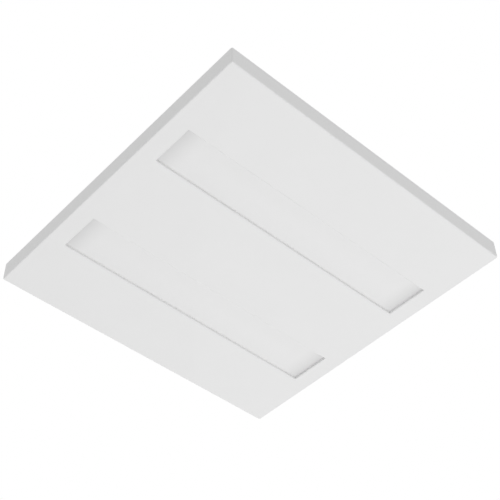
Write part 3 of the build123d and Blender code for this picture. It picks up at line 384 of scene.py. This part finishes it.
def plastic(slot, name, dark, light, roughness, grain, glow=0.0, ior=1.5):
    """A moulded plastic. The grain is its texture in millimetres, glow the share lit inside."""
    tree, place = begin(slot, name)
    texture = add(tree, "ShaderNodeTexNoise", {
        "Vector": place, "Scale": per_metre(grain), "Detail": 2.0,
    })
    bump = add(tree, "ShaderNodeBump", {
        "Height": texture.outputs["Fac"], "Distance": 0.06 * MM, "Strength": 0.6,
    })
    flow = add(tree, "ShaderNodeTexNoise", {
        "Vector": place, "Scale": per_metre(flow_size), "Detail": 3.0,
    })
    tint = add(tree, "ShaderNodeValToRGB", {"Fac": flow.outputs["Fac"]})
    tint.color_ramp.elements[0].position = 0.3
    tint.color_ramp.elements[0].color = linear(dark)
    tint.color_ramp.elements[1].position = 0.7
    tint.color_ramp.elements[1].color = linear(light)
    rough = add(tree, "ShaderNodeMapRange", {
        "Value": flow.outputs["Fac"],
        "To Min": roughness - sheen_spread,
        "To Max": roughness + sheen_spread,
    })
    shader = add(tree, "ShaderNodeBsdfPrincipled", {
        "Base Color": tint.outputs["Color"],
        "Roughness": rough.outputs["Result"],
        "IOR": ior,
        "Subsurface Weight": glow,
        "Subsurface Radius": (1.0, 1.0, 1.0),
        "Subsurface Scale": 1.0 * MM,
        "Normal": bump.outputs["Normal"],
    })
    add(tree, "ShaderNodeOutputMaterial", {"Surface": shader.outputs["BSDF"]})


plastic("white_polycarbonate", "white_reflector_polycarbonate", "#F1F1EF", "#F5F5F3", 0.55, 1.5,
        glow=0.1, ior=1.58)

# %% Natural nylon: uncoloured and milky, with a dull sheen
plastic("nylon_white", "natural_nylon", "#E4E0D4", "#ECE9DF", 0.42, 0.8, glow=0.2, ior=1.53)

# %% Driver housing: spark-textured polycarbonate blend, off-white and evenly matt
plastic("driver_housing", "moulded_driver_housing", "#DDDEDC", "#E6E7E5", 0.52, 0.9, ior=1.57)

# %% Terminal polyamide: flame-retardant and mid grey, with a dull sheen
plastic("terminal_grey", "grey_terminal_polyamide", "#868B8E", "#94999C", 0.46, 0.7, ior=1.53)

# %% Button polyamide: the same plastic in signal orange
plastic("button_orange", "orange_button_polyamide", "#DB6118", "#E66F22", 0.4, 0.7, glow=0.05,
        ior=1.53)

# %% Moulded rubber of the grommet and the plug: dull, and slightly dusty
plastic("rubber_grey", "grey_moulded_rubber", "#6C7072", "#7C8082", 0.72, 0.6, ior=1.52)

# %% [markdown]
# Wire sheaths
#
# Each wire has an extruded sheath of soft vinyl, smooth and half glossy, in a colour that says what
# it carries: brown and blue for the mains, green with a yellow stripe for earth, and red and black
# to the boards. The stripe runs along the wire in a slow twist, so it has to follow the sheath. It
# reads the tube's own UV map, where u goes once round the wire and v counts metres along it. A
# point is in the stripe where the fraction of u plus v over the twist is under the stripe's share.

# %% Brown vinyl, the sheath of the live wire, and the function that all the sheaths share
stripe_twist = 55.0
stripe_share = 0.34
ripple_size = 2.5


def vinyl(slot, name, colour, stripe=None):
    """Extruded soft vinyl in one colour, or with a stripe of another."""
    tree, place = begin(slot, name)
    ripple = add(tree, "ShaderNodeTexNoise", {
        "Vector": place, "Scale": per_metre(ripple_size), "Detail": 2.0,
    })
    bump = add(tree, "ShaderNodeBump", {
        "Height": ripple.outputs["Fac"], "Distance": 0.03 * MM, "Strength": 0.5,
    })
    rough = add(tree, "ShaderNodeMapRange", {
        "Value": ripple.outputs["Fac"], "To Min": 0.3, "To Max": 0.46,
    })
    base = linear(colour)
    if stripe:
        uv = add(tree, "ShaderNodeUVMap", uv_map="sheath")
        axes = add(tree, "ShaderNodeSeparateXYZ", {"Vector": uv.outputs["UV"]})
        turn = add(tree, "ShaderNodeMath", {
            0: axes.outputs["Y"], 1: per_metre(stripe_twist), 2: axes.outputs["X"],
        }, operation="MULTIPLY_ADD")
        share = add(tree, "ShaderNodeMath", {0: turn.outputs[0]}, operation="FRACT")
        band = add(tree, "ShaderNodeMath", {
            0: share.outputs[0], 1: stripe_share,
        }, operation="LESS_THAN")
        tints = add(tree, "ShaderNodeValToRGB", {"Fac": band.outputs[0]})
        tints.color_ramp.elements[0].color = base
        tints.color_ramp.elements[1].color = linear(stripe)
        base = tints.outputs["Color"]
    shader = add(tree, "ShaderNodeBsdfPrincipled", {
        "Base Color": base,
        "Roughness": rough.outputs["Result"],
        "IOR": 1.53,
        "Normal": bump.outputs["Normal"],
    })
    add(tree, "ShaderNodeOutputMaterial", {"Surface": shader.outputs["BSDF"]})


vinyl("wire_brown", "brown_vinyl_sheath", "#6A3F26")

# %% Blue for neutral, green and yellow for earth, red and black for the leads to the boards
vinyl("wire_blue", "blue_vinyl_sheath", "#2A66B4")
vinyl("wire_green_yellow", "green_and_yellow_vinyl_sheath", "#1F8A3B", stripe="#EFCB1E")
vinyl("wire_red", "red_vinyl_sheath", "#B5251F")
vinyl("wire_black", "black_vinyl_sheath", "#232325")

# %% [markdown]
# Circuit boards
#
# A board for light-emitting diodes is covered with glossy white solder mask. Under it lie broad
# copper islands that carry current and spread heat: each reaches from one diode to the next, and
# the gap between two of them passes under a diode. They stand about 0.05 mm proud, and the mask
# over them looks a shade creamier. Bricks are islands with gaps, so Blender's brick pattern draws
# them. All four boards lie mirrored about the middle of the light, so the pattern reads |x| and |y|
# from the middle of one board. The driver's board is covered in green mask instead.

# %% White solder mask, over islands one diode long and half a board wide
led_pitch = 18.0
led_row_spacing = 20.0
island_gap = 0.7
flux_size = 9.0


def solder_mask(slot, name, bare, over_copper, middle, pitch, width):
    """Glossy solder mask over islands of one pitch by one width, counted from a middle."""
    tree, place = begin(slot, name)
    mirrored = add(tree, "ShaderNodeVectorMath", {0: place}, operation="ABSOLUTE")
    from_middle = add(tree, "ShaderNodeVectorMath", {
        0: mirrored.outputs[0], 1: (middle[0], middle[1], 0.0),
    }, operation="SUBTRACT")
    islands = add(tree, "ShaderNodeTexBrick", {
        "Vector": from_middle.outputs[0],
        "Color1": linear(over_copper),
        "Color2": linear(over_copper),
        "Mortar": linear(bare),
        "Scale": 1.0,
        "Mortar Size": island_gap / 2 * MM,
        "Mortar Smooth": 0.3,
        "Brick Width": pitch * MM,
        "Row Height": width * MM,
    }, offset=0.0)
    bump = add(tree, "ShaderNodeBump", {
        "Height": islands.outputs["Fac"], "Distance": 0.1 * MM, "Strength": 0.7,
    }, invert=True)
    flux = add(tree, "ShaderNodeTexNoise", {
        "Vector": place, "Scale": per_metre(flux_size), "Detail": 3.0,
    })
    rough = add(tree, "ShaderNodeMapRange", {
        "Value": flux.outputs["Fac"], "To Min": 0.24, "To Max": 0.36,
    })
    shader = add(tree, "ShaderNodeBsdfPrincipled", {
        "Base Color": islands.outputs["Color"],
        "Roughness": rough.outputs["Result"],
        "IOR": 1.55,
        "Normal": bump.outputs["Normal"],
    })
    add(tree, "ShaderNodeOutputMaterial", {"Surface": shader.outputs["BSDF"]})


low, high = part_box("led_board_hinge_side_b")
board_middle = ((low.x + high.x) / 2, (low.y + high.y) / 2)
solder_mask("circuit_board_white", "white_solder_mask", "#F3F3F0", "#EAE9E1", board_middle,
            led_pitch, led_row_spacing)

# %% Green solder mask, over the smaller islands of the driver's board
driver_pitch = 8.0
driver_width = 5.0
solder_mask("circuit_board_green", "green_solder_mask", "#1F7A40", "#2A8F4E", (0.0, 0.0),
            driver_pitch, driver_width)

# %% [markdown]
# Light-emitting diodes and small electrical parts
#
# A diode's package is a white frame round a pool of clear silicone, filled with yellow phosphor,
# and tin solder wets both of its ends. All three lie in one mesh of some hundred packages, so an
# attribute on the faces says which is which: 0 for the frame, 1 for the phosphor and 2 for solder.
# The driver's components are shut in its housing. They get the lacquer and sleeve colours that such
# parts have, in patches as large as the parts.

# %% Diode package: white frame, yellow phosphor in silicone and tin solder, by the part attribute
tree, place = begin("led_package", "diode_package")
part = add(tree, "ShaderNodeAttribute", attribute_name="part")
half = add(tree, "ShaderNodeMath", {0: part.outputs["Fac"], 1: 0.5}, operation="MULTIPLY")
tint = add(tree, "ShaderNodeValToRGB", {"Fac": half.outputs[0]})
tint.color_ramp.interpolation = "CONSTANT"
tint.color_ramp.elements[0].color = linear("#F3F2EC")
tint.color_ramp.elements[1].position = 0.75
tint.color_ramp.elements[1].color = linear("#C2C4C4")
tint.color_ramp.elements.new(0.25).color = linear("#E9BE3F")
solder = add(tree, "ShaderNodeMath", {
    0: part.outputs["Fac"], 1: 1.5,
}, operation="GREATER_THAN")
gloss = add(tree, "ShaderNodeMapRange", {
    "Value": part.outputs["Fac"], "From Max": 1.0, "To Min": 0.45, "To Max": 0.2,
})
grain = add(tree, "ShaderNodeTexNoise", {"Vector": place, "Scale": per_metre(0.5)})
bump = add(tree, "ShaderNodeBump", {
    "Height": grain.outputs["Fac"], "Distance": 0.01 * MM, "Strength": 0.4,
})
shader = add(tree, "ShaderNodeBsdfPrincipled", {
    "Base Color": tint.outputs["Color"],
    "Metallic": solder.outputs[0],
    "Roughness": gloss.outputs["Result"],
    "Normal": bump.outputs["Normal"],
})
add(tree, "ShaderNodeOutputMaterial", {"Surface": shader.outputs["BSDF"]})

# %% Components of the driver: lacquer and sleeves, dark with one or two yellow ones among them
component_size = 30.0
tree, place = begin("driver_parts", "driver_component_lacquer")
parts = add(tree, "ShaderNodeTexVoronoi", {
    "Vector": place, "Scale": per_metre(component_size),
})
pick = add(tree, "ShaderNodeSeparateColor", {"Color": parts.outputs["Color"]})
tint = add(tree, "ShaderNodeValToRGB", {"Fac": pick.outputs["Red"]})
tint.color_ramp.interpolation = "CONSTANT"
tint.color_ramp.elements[0].color = linear("#26282B")
tint.color_ramp.elements[1].position = 0.7
tint.color_ramp.elements[1].color = linear("#C79A2E")
grain = add(tree, "ShaderNodeTexNoise", {"Vector": place, "Scale": per_metre(1.5)})
bump = add(tree, "ShaderNodeBump", {
    "Height": grain.outputs["Fac"], "Distance": 0.05 * MM, "Strength": 0.5,
})
shader = add(tree, "ShaderNodeBsdfPrincipled", {
    "Base Color": tint.outputs["Color"],
    "Roughness": 0.4,
    "Normal": bump.outputs["Normal"],
})
add(tree, "ShaderNodeOutputMaterial", {"Surface": shader.outputs["BSDF"]})

# %% [markdown]
# Dressing the frame
#
# Each solid of the frame names a material slot. So the finishes go on by a table from slot to
# finish, and a solid that is added later is dressed without another line. A solid's mesh is never
# touched here: only what is in its material list changes.

# %% Every solid gets the finish of its slot
slot_of = {part["node"]: part["material_slot"] for part in frame["record"]["subparts"]}
for node, slot in slot_of.items():
    slots = frame["nodes"][node].data.materials
    slots.clear()
    slots.append(finishes[slot])
print("dressed", len(slot_of), "solids in", len(set(slot_of.values())), "finishes")

# %% [markdown]
# Surfaces from arrays
#
# The finer pieces are surfaces worked out as whole arrays. A function of two parameters gives a
# grid of points, and each face joins four neighbours on the grid. A grid that closes on itself is a
# tube, and a flat cap at each end makes it a solid. The faces have to point outwards, so the helper
# works out the volume from the faces' own order: it is positive if they do, and if it isn't, the
# order is turned round.


# %% A grid of points becomes a closed mesh
def signed_volume(points, triangles):
    """The sum over triangles of a . (b x c) / 6: positive where the faces point outwards."""
    a, b, c = (points[triangles[:, i]] for i in range(3))
    return float(np.einsum("ij,ij->", a, np.cross(b, c)) / 6)


def capped_tube(grid):
    """The points and faces of a grid that is round in its second parameter, capped at both ends.

    The face at (i, j) joins the points (i, j), (i, j + 1), (i + 1, j + 1) and (i + 1, j).
    """
    rows, columns = grid.shape[:2]
    index = np.arange(rows * columns).reshape(rows, columns)
    after = np.roll(index, -1, axis=1)
    quads = np.stack([index[:-1], after[:-1], after[1:], index[1:]], axis=-1).reshape(-1, 4)
    points = grid.reshape(-1, 3)
    halves = np.concatenate([quads[:, [0, 1, 2]], quads[:, [0, 2, 3]]])
    ends = [index[0, ::-1], index[-1]]
    fans = [np.stack([np.full(columns - 2, end[0]), end[1:-1], end[2:]], axis=-1) for end in ends]
    if signed_volume(points - points.mean(axis=0), np.concatenate([halves, *fans])) < 0:
        quads = quads[:, ::-1]
        ends = [end[::-1] for end in ends]
    return points, quads.tolist() + [end.tolist() for end in ends]


cube = np.array([[(0, 0, z), (1, 0, z), (1, 1, z), (0, 1, z)] for z in (0, 1)], float)
cube_points, cube_faces = capped_tube(cube)
print("a cube as a capped tube:", len(cube_points), "points and", len(cube_faces), "faces")


# %% A mesh becomes a piece of the object
def piece(name, points, faces, stands_for, smooth_angle=40):
    """Put points and faces in a mesh that rides, and is finished, as the solids it stands for."""
    mesh = bpy.data.meshes.new(name)
    mesh.from_pydata(points.tolist(), [], faces)
    mesh.shade_smooth()
    mesh.set_sharp_from_angle(angle=np.radians(smooth_angle))
    made = bpy.data.objects.new(name, mesh)
    bpy.context.scene.collection.objects.link(made)
    mesh.materials.append(finishes[slot_of[stands_for]])
    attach(made, frame["nodes"][stands_for]["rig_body"])
    print(f"{name}: {len(mesh.vertices)} points, {len(mesh.polygons)} faces")
    return made


print("pieces take their finish from", len(finishes), "materials")

# %% [markdown]
# The opal plates
#
# Each diffuser is a plate 2 mm thick, cut from a sheet by a laser, with its corners rounded and its
# edges flamed, which melts them to a small radius. A cube with a Bevel modifier would do. A profile
# carried round the outline says the same in two lines: the outline is a rectangle with round
# corners, and the profile is two quarter circles.

# %% The outline and the flamed edge
plate_corner = 2.5
flamed_edge = 0.4


def rounded_rectangle(half_x, half_y, radius, steps):
    """Points once round: each corner's centre plus the radius times (cos, sin) over its quarter.

    The radius may be an array. Then each value gives one outline, with the corner centres kept.
    """
    corner = np.repeat([[1, 1], [-1, 1], [-1, -1], [1, -1]], steps + 1, axis=0)
    angle = np.linspace(0, np.pi / 2, steps + 1) + np.arange(4)[:, None] * np.pi / 2
    turn = np.stack([np.cos(angle), np.sin(angle)], axis=-1).reshape(-1, 2)
    centre = corner * [half_x - np.max(radius), half_y - np.max(radius)]
    return centre + np.multiply.outer(radius, turn)


def plate(node, corner, edge, steps=8):
    """A plate as large as a solid.

    At its bottom and its top, the edge's inset and height follow a quarter circle:
    edge * (1 - sin t) inwards and edge * (1 - cos t) upwards, for t from 0 to a quarter turn.
    """
    low, high = (np.array(end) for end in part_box(node))
    half = (high - low) / 2
    t = np.linspace(0, np.pi / 2, steps)
    inset = np.concatenate([1 - np.sin(t), 1 - np.cos(t)]) * edge
    bottom = low[2] + (1 - np.cos(t)) * edge
    top = high[2] - (1 - np.sin(t)) * edge
    outline = rounded_rectangle(half[0], half[1], corner - inset, steps)
    grid = np.empty((*outline.shape[:2], 3))
    grid[..., :2] = outline + (low[:2] + high[:2]) / 2
    grid[..., 2] = np.concatenate([bottom, top])[:, None]
    return capped_tube(grid)


print("plate corners", plate_corner, "mm, flamed edges", flamed_edge, "mm")

# %% Both plates
for side in ("catch_side", "hinge_side"):
    node = "diffuser_" + side
    made = piece("opal_plate_" + side, *plate(node, plate_corner * MM, flamed_edge * MM), node)
    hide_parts(node)

# %% [markdown]
# Paths with round bends
#
# A wire or a spring strip is a section carried along a path. The path is straight runs joined by
# arcs that touch both runs, which is how a bending tool leaves it. A curve object with a bevel
# would make the tube, but not a UV map in metres or a flat strip with bent ends, so the path is
# worked out here. At each corner the arc starts before the point by the radius times the tangent of
# half the turn.


# %% A path along points
def bent_path(corners, radius, steps=12):
    """The places and directions along runs between corners, with an arc at each inner corner.

    On an arc the direction turns from the run before to the run after: d = a cos t + n sin t,
    where n is the part of the next run that is square to a. The place is the arc's start plus
    the radius times (a sin t + n (1 - cos t)).
    """
    corners = np.array(corners, float)
    runs = np.diff(corners, axis=0)
    runs /= np.linalg.norm(runs, axis=1)[:, None]
    places, directions = [corners[:1]], [runs[:1]]
    for corner, before, after in zip(corners[1:-1], runs[:-1], runs[1:]):
        turn = np.arccos(np.clip(before @ after, -1, 1))
        inward = after - (before @ after) * before
        inward /= np.linalg.norm(inward)
        t = np.linspace(0, turn, steps)[:, None]
        start = corner - before * radius * np.tan(turn / 2)
        places.append(start + radius * (before * np.sin(t) + inward * (1 - np.cos(t))))
        directions.append(before * np.cos(t) + inward * np.sin(t))
    places.append(corners[-1:])
    directions.append(runs[-1:])
    return np.concatenate(places), np.concatenate(directions)


bend = bent_path([(0, 0, 0), (1, 0, 0), (1, 1, 0)], 0.5)[0]
print("one bend of a quarter turn:", len(bend), "places")

# %% [markdown]
# The wires
#
# Each wire keeps the route of its solid, because the object holds it all the way: pushed into a
# terminal at one end, and bent once or twice on its way to the other. The tube is a circle carried
# along the path, square to it. Its sideways axis is the direction crossed with the vertical, which
# never fails here, as no wire runs straight up.

# %% A sheath with its own map
around = 16


def tube_map(columns, distances, faces):
    """For each corner of each face: u, the share of a turn, and v, the metres along the tube.

    A face that crosses the seam has corners in the last column and in column 0, and there 0
    counts as a whole turn.
    """
    loops = np.concatenate([np.array(face) for face in faces])
    column, row = loops % columns, loops // columns
    quads = column[: 4 * columns * (len(distances) - 1)].reshape(-1, 4)
    crosses = np.ptp(quads, axis=1) > 1
    quads[crosses[:, None] & (quads == 0)] = columns
    return np.stack([column / columns, distances[row]], axis=-1)


def sheath(name, node, corners, radius, bend):
    """A tube at place + radius * (cos u * side + sin u * up), with u once round the path."""
    places, directions = bent_path(corners, bend)
    side = np.cross(directions, [0, 0, 1])
    side /= np.linalg.norm(side, axis=1)[:, None]
    up = np.cross(side, directions)
    u = np.arange(around)[:, None] / around * 2 * np.pi
    grid = places[:, None] + radius * (np.cos(u) * side[:, None] + np.sin(u) * up[:, None])
    points, faces = capped_tube(grid)
    made = piece(name, points, faces, node)
    steps = np.linalg.norm(np.diff(places, axis=0), axis=1)
    uv = tube_map(around, np.concatenate([[0], np.cumsum(steps)]), faces)
    layer = made.data.uv_layers.new(name="sheath")
    layer.data.foreach_set("uv", uv.astype(np.float32).ravel())
    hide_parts(node)


print("each sheath has", around, "points round it")

# %% The leads to the boards
lead_radius = 0.8 * MM
lead_bend = 8.0 * MM
for side, sign in (("hinge_side", 1), ("catch_side", -1)):
    for pole in ("positive", "negative"):
        node = f"lead_{pole}_{side}"
        low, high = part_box(node)
        height = (low.z + high.z) / 2
        near, far = (low.y + lead_radius, high.y) if sign > 0 else (high.y - lead_radius, low.y)
        turn_x = low.x + lead_radius
        corners = [(high.x, near, height), (turn_x, near, height), (turn_x, far, height)]
        sheath(f"sheath_{pole}_{side}", node, corners, lead_radius, lead_bend)

# %% The mains wires
mains_radius = 1.1 * MM
mains_bend = 20.0 * MM
mains_end_run = 19.5 * MM
for pole in ("live", "neutral"):
    node = "wire_" + pole
    low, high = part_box(node)
    height = (low.z + high.z) / 2
    at_block, at_driver = (low.y + mains_radius, high.y - mains_radius)
    corners = [
        (high.x, at_block, height),
        (high.x - mains_end_run, at_block, height),
        (low.x + mains_end_run, at_driver, height),
        (low.x, at_driver, height),
    ]
    sheath("sheath_" + pole, node, corners, mains_radius, mains_bend)

# %% The earth wire
earth_bend = 6.0 * MM
low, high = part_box("wire_earth")
turn_x = high.x - mains_end_run
corners = [
    (high.x, low.y + mains_radius, low.z + mains_radius),
    (turn_x, low.y + mains_radius, low.z + mains_radius),
    (turn_x, high.y - mains_radius, high.z - mains_radius),
    (low.x, high.y - mains_radius, high.z - mains_radius),
]
sheath("sheath_earth", "wire_earth", corners, mains_radius, earth_bend)

# %% [markdown]
# The spring catches
#
# Each catch is a strip of spring steel bent in a press: up the tray's wall, out to a nose and back
# in. Real strip can't turn a sharp corner, so each bend has an inner radius of about twice its
# thickness, and the cut edges are tumbled smooth. The strip is a flat section with round edges
# carried along the profile.

# %% A bent strip
strip_thickness = 0.4
strip_bend = 0.9
edge_roundness = 0.95
catch_profile = [(-284.2, -26.0), (-284.2, -19.0), (-294.0, -4.8), (-289.7, -1.145)]


def strip(x, width):
    """A strip at place + w * across + t * outward, with (w, t) once round a flat section."""
    path = [(x, y * MM, z * MM) for y, z in catch_profile]
    places, directions = bent_path(path, strip_bend * MM, steps=9)
    across = np.array([1.0, 0.0, 0.0])
    outward = np.cross(directions, across)
    edge = strip_thickness / 2 * MM
    section = rounded_rectangle(width / 2, edge, np.array([edge_roundness * edge]), 3)[0]
    grid = places[:, None] + section[:, :1] * across + section[:, 1:] * outward[:, None]
    return capped_tube(grid)


print("strip", strip_thickness, "mm thick, bent to", strip_bend, "mm along its middle")

# %% Both catches
for end in ("left", "right"):
    node = "spring_catch_" + end
    low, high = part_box(node)
    made = piece("bent_catch_" + end, *strip((low.x + high.x) / 2, high.x - low.x), node)
    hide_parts(node)

# %% [markdown]
# The diodes
#
# There are 52 packages over each window, so one package has to be light: four rings of eight points
# make the frame with its shallow pool, and a wedge of solder lies against each end. The rings
# follow a profile, as the plate's edge does: up the side, over the rim and down into the pool. One
# package is worked out once, and numpy's broadcasting adds every place to every point at a stroke.

# %% The frame of one package, its pool and its solder
package_x, package_y, package_z = 3.5, 2.8, 0.7
package_corner = 0.75
draft = 0.06
rim = 0.33
pool_slope = 0.08
pool_depth = 0.12
solder_length = 0.3
solder_height = 0.35
solder_setback = 0.35


def package():
    """The points, faces and parts of one package that hangs below z = 0, middle at the origin."""
    inset = [0.0, draft, rim, rim + pool_slope]
    height = [0.0, -package_z, -package_z, -package_z + pool_depth]
    half_x, half_y = package_x / 2 - solder_length, package_y / 2
    outlines = [
        rounded_rectangle(
            half_x - shrink, half_y - shrink, np.array([package_corner - shrink]), 1,
        )[0]
        for shrink in inset
    ]
    grid = np.concatenate([outlines, np.broadcast_to(np.array(height)[:, None, None], (4, 8, 1))],
                          axis=-1)
    points, faces = capped_tube(grid)
    parts = [0] * (len(faces) - 1) + [1]
    wedge = np.array([
        (0, 1, 0), (solder_length, 1, 0), (0, 1, -solder_height),
        (0, -1, 0), (solder_length, -1, 0), (0, -1, -solder_height),
    ])
    for end in (1, -1):
        start = len(points)
        moved = wedge * [end, half_y - solder_setback, 1] + [end * half_x, 0, 0]
        points = np.concatenate([points, moved])
        sides = np.array([(0, 1, 4, 3), (1, 2, 5, 4), (2, 0, 3, 5)])[:, ::end] + start
        caps = np.array([(2, 1, 0), (3, 4, 5)])[:, ::end] + start
        faces = faces + sides.tolist() + caps.tolist()
        parts += [2] * 5
    return points * MM, faces, parts


one_points, one_faces, one_parts = package()
print("one package:", len(one_points), "points and", len(one_faces), "faces")

# %% All packages of a side, in one mesh
for side in ("catch_side", "hinge_side"):
    node = "led_packages_" + side
    places = []
    for board in "ab":
        low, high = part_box(f"led_board_{side}_{board}")
        count = round((high.x - low.x) / MM / led_pitch)
        x = (low.x + high.x) / 2 + (np.arange(count) - (count - 1) / 2) * led_pitch * MM
        y = (low.y + high.y) / 2 + np.array([-0.5, 0.5]) * led_row_spacing * MM
        x, y = (axis.ravel() for axis in np.meshgrid(x, y))
        places.append(np.stack([x, y, np.full(2 * count, low.z)], axis=-1))
    places = np.concatenate(places)
    points = (places[:, None] + one_points).reshape(-1, 3)
    starts = (np.arange(len(places)) * len(one_points)).tolist()
    faces = [[corner + start for corner in face] for start in starts for face in one_faces]
    made = piece("diode_packages_" + side, points, faces, node, smooth_angle=20)
    parts = made.data.attributes.new("part", "FLOAT", "FACE")
    parts.data.foreach_set("value", np.tile(np.array(one_parts, np.float32), len(places)))
    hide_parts(node)

# %% [markdown]
# The room
#
# The light hangs in a bright, even room: a pale floor well below it, a white surround, and one
# large soft lamp. The face looks down, so it takes its light from the floor and from the lamp under
# it. The lamp stands a little to the right of the camera, so the sides that look left are a shade
# darker. The background is white by the world's own strength of 1 for the camera, for reflections
# and for glass, while surfaces get a plain level. The floor does the same with a little glow of its
# own for the camera, so that it meets the background without a horizon and still shows the object's
# shadow.

# %% The world
plain_level = 0.64


def seen_directly(tree):
    """The socket that is 1 on camera, glossy and transmission rays, and 0 on light's other rays."""
    rays = add(tree, "ShaderNodeLightPath")
    sharp = add(tree, "ShaderNodeMath", {
        0: rays.outputs["Is Camera Ray"], 1: rays.outputs["Is Glossy Ray"],
    }, operation="MAXIMUM")
    both = add(tree, "ShaderNodeMath", {
        0: sharp.outputs[0], 1: rays.outputs["Is Transmission Ray"],
    }, operation="MAXIMUM")
    return both.outputs[0]


world = bpy.data.worlds.new("bright_room")
bpy.context.scene.world = world
world.use_nodes = True
world.node_tree.nodes.clear()
level = add(world.node_tree, "ShaderNodeMapRange", {
    "Value": seen_directly(world.node_tree), "To Min": plain_level, "To Max": 1.0,
})
air = add(world.node_tree, "ShaderNodeBackground", {
    "Color": linear("#FFFFFF"), "Strength": level.outputs["Result"],
})
add(world.node_tree, "ShaderNodeOutputWorld", {"Surface": air.outputs[0]})
print("surfaces get", plain_level, "of the white that the camera sees")

# %% The floor
floor_depth = 3.0
floor_half = 9.0
floor_lift = 0.48
floor_patch = 400.0
tree, place = begin("floor", "pale_floor_paint")
mottle = add(tree, "ShaderNodeTexNoise", {
    "Vector": place, "Scale": per_metre(floor_patch), "Detail": 3.0,
})
tint = add(tree, "ShaderNodeValToRGB", {"Fac": mottle.outputs["Fac"]})
tint.color_ramp.elements[0].color = linear("#E9E9E9")
tint.color_ramp.elements[1].color = linear("#EDEDED")
diffuse = add(tree, "ShaderNodeBsdfDiffuse", {"Color": tint.outputs["Color"]})
lift = add(tree, "ShaderNodeMath", {
    0: seen_directly(tree), 1: floor_lift,
}, operation="MULTIPLY")
glow = add(tree, "ShaderNodeEmission", {"Strength": lift.outputs[0]})
both = add(tree, "ShaderNodeAddShader", {0: diffuse.outputs[0], 1: glow.outputs[0]})
add(tree, "ShaderNodeOutputMaterial", {"Surface": both.outputs[0]})
mesh = bpy.data.meshes.new("floor")
corners = np.array([(-1, -1, 0), (1, -1, 0), (1, 1, 0), (-1, 1, 0)]) * floor_half
mesh.from_pydata((corners - [0, 0, floor_depth]).tolist(), [], [(0, 1, 2, 3)])
mesh.materials.append(finishes["floor"])
floor = bpy.data.objects.new("floor", mesh)
bpy.context.scene.collection.objects.link(floor)
print("floor", floor_depth, "m below the ceiling")

# %% The lamp under the light
lamp_width = 6.0
lamp_watts = 68.0
lamp_place = (1.0, -0.4, -2.9)
lamp_data = bpy.data.lights.new("soft_lamp", "AREA")
lamp_data.shape = "DISK"
lamp_data.size = lamp_width
lamp_data.energy = lamp_watts
lamp = bpy.data.objects.new("soft_lamp", lamp_data)
bpy.context.scene.collection.objects.link(lamp)
lamp.location = lamp_place
lamp.rotation_euler = (np.pi, 0, 0)
lamp.visible_camera = False
lamp.visible_glossy = False
print("lamp", lamp_width, "m wide, facing up")

# %% [markdown]
# The camera
#
# The photograph looks up at the light from below one corner. A pinhole camera was fitted to the
# four corners of the face and to the top corner at the ceiling, and its place, its axes and its
# focal length in pixels are repeated here. A pixel is 36 mm / 500 of Blender's usual sensor, which
# gives the lens. The middle of the photograph lies a little beside the axis, and the small shift
# stands for that.

# %% The camera of the photograph
picture_side = 500
focal_length_px = 1099.87
sensor = 36.0
beside_axis = 0.0259
camera_place = (-0.8965, -0.9842, -1.3665)
right = Vector((0.74908, -0.66248, -0.00075))
up = Vector((-0.47527, -0.53819, 0.69603))
camera_data = bpy.data.cameras.new("camera")
camera_data.sensor_width = sensor
camera_data.lens = focal_length_px * sensor / picture_side
camera_data.shift_x = beside_axis
camera = bpy.data.objects.new("camera", camera_data)
bpy.context.scene.collection.objects.link(camera)
turned = Matrix((right, up, right.cross(up))).transposed()
camera.matrix_world = Matrix.Translation(camera_place) @ turned.to_4x4()
bpy.context.scene.camera = camera
bpy.context.scene.view_settings.view_transform = "Standard"
print("lens", round(camera_data.lens, 2), "mm")
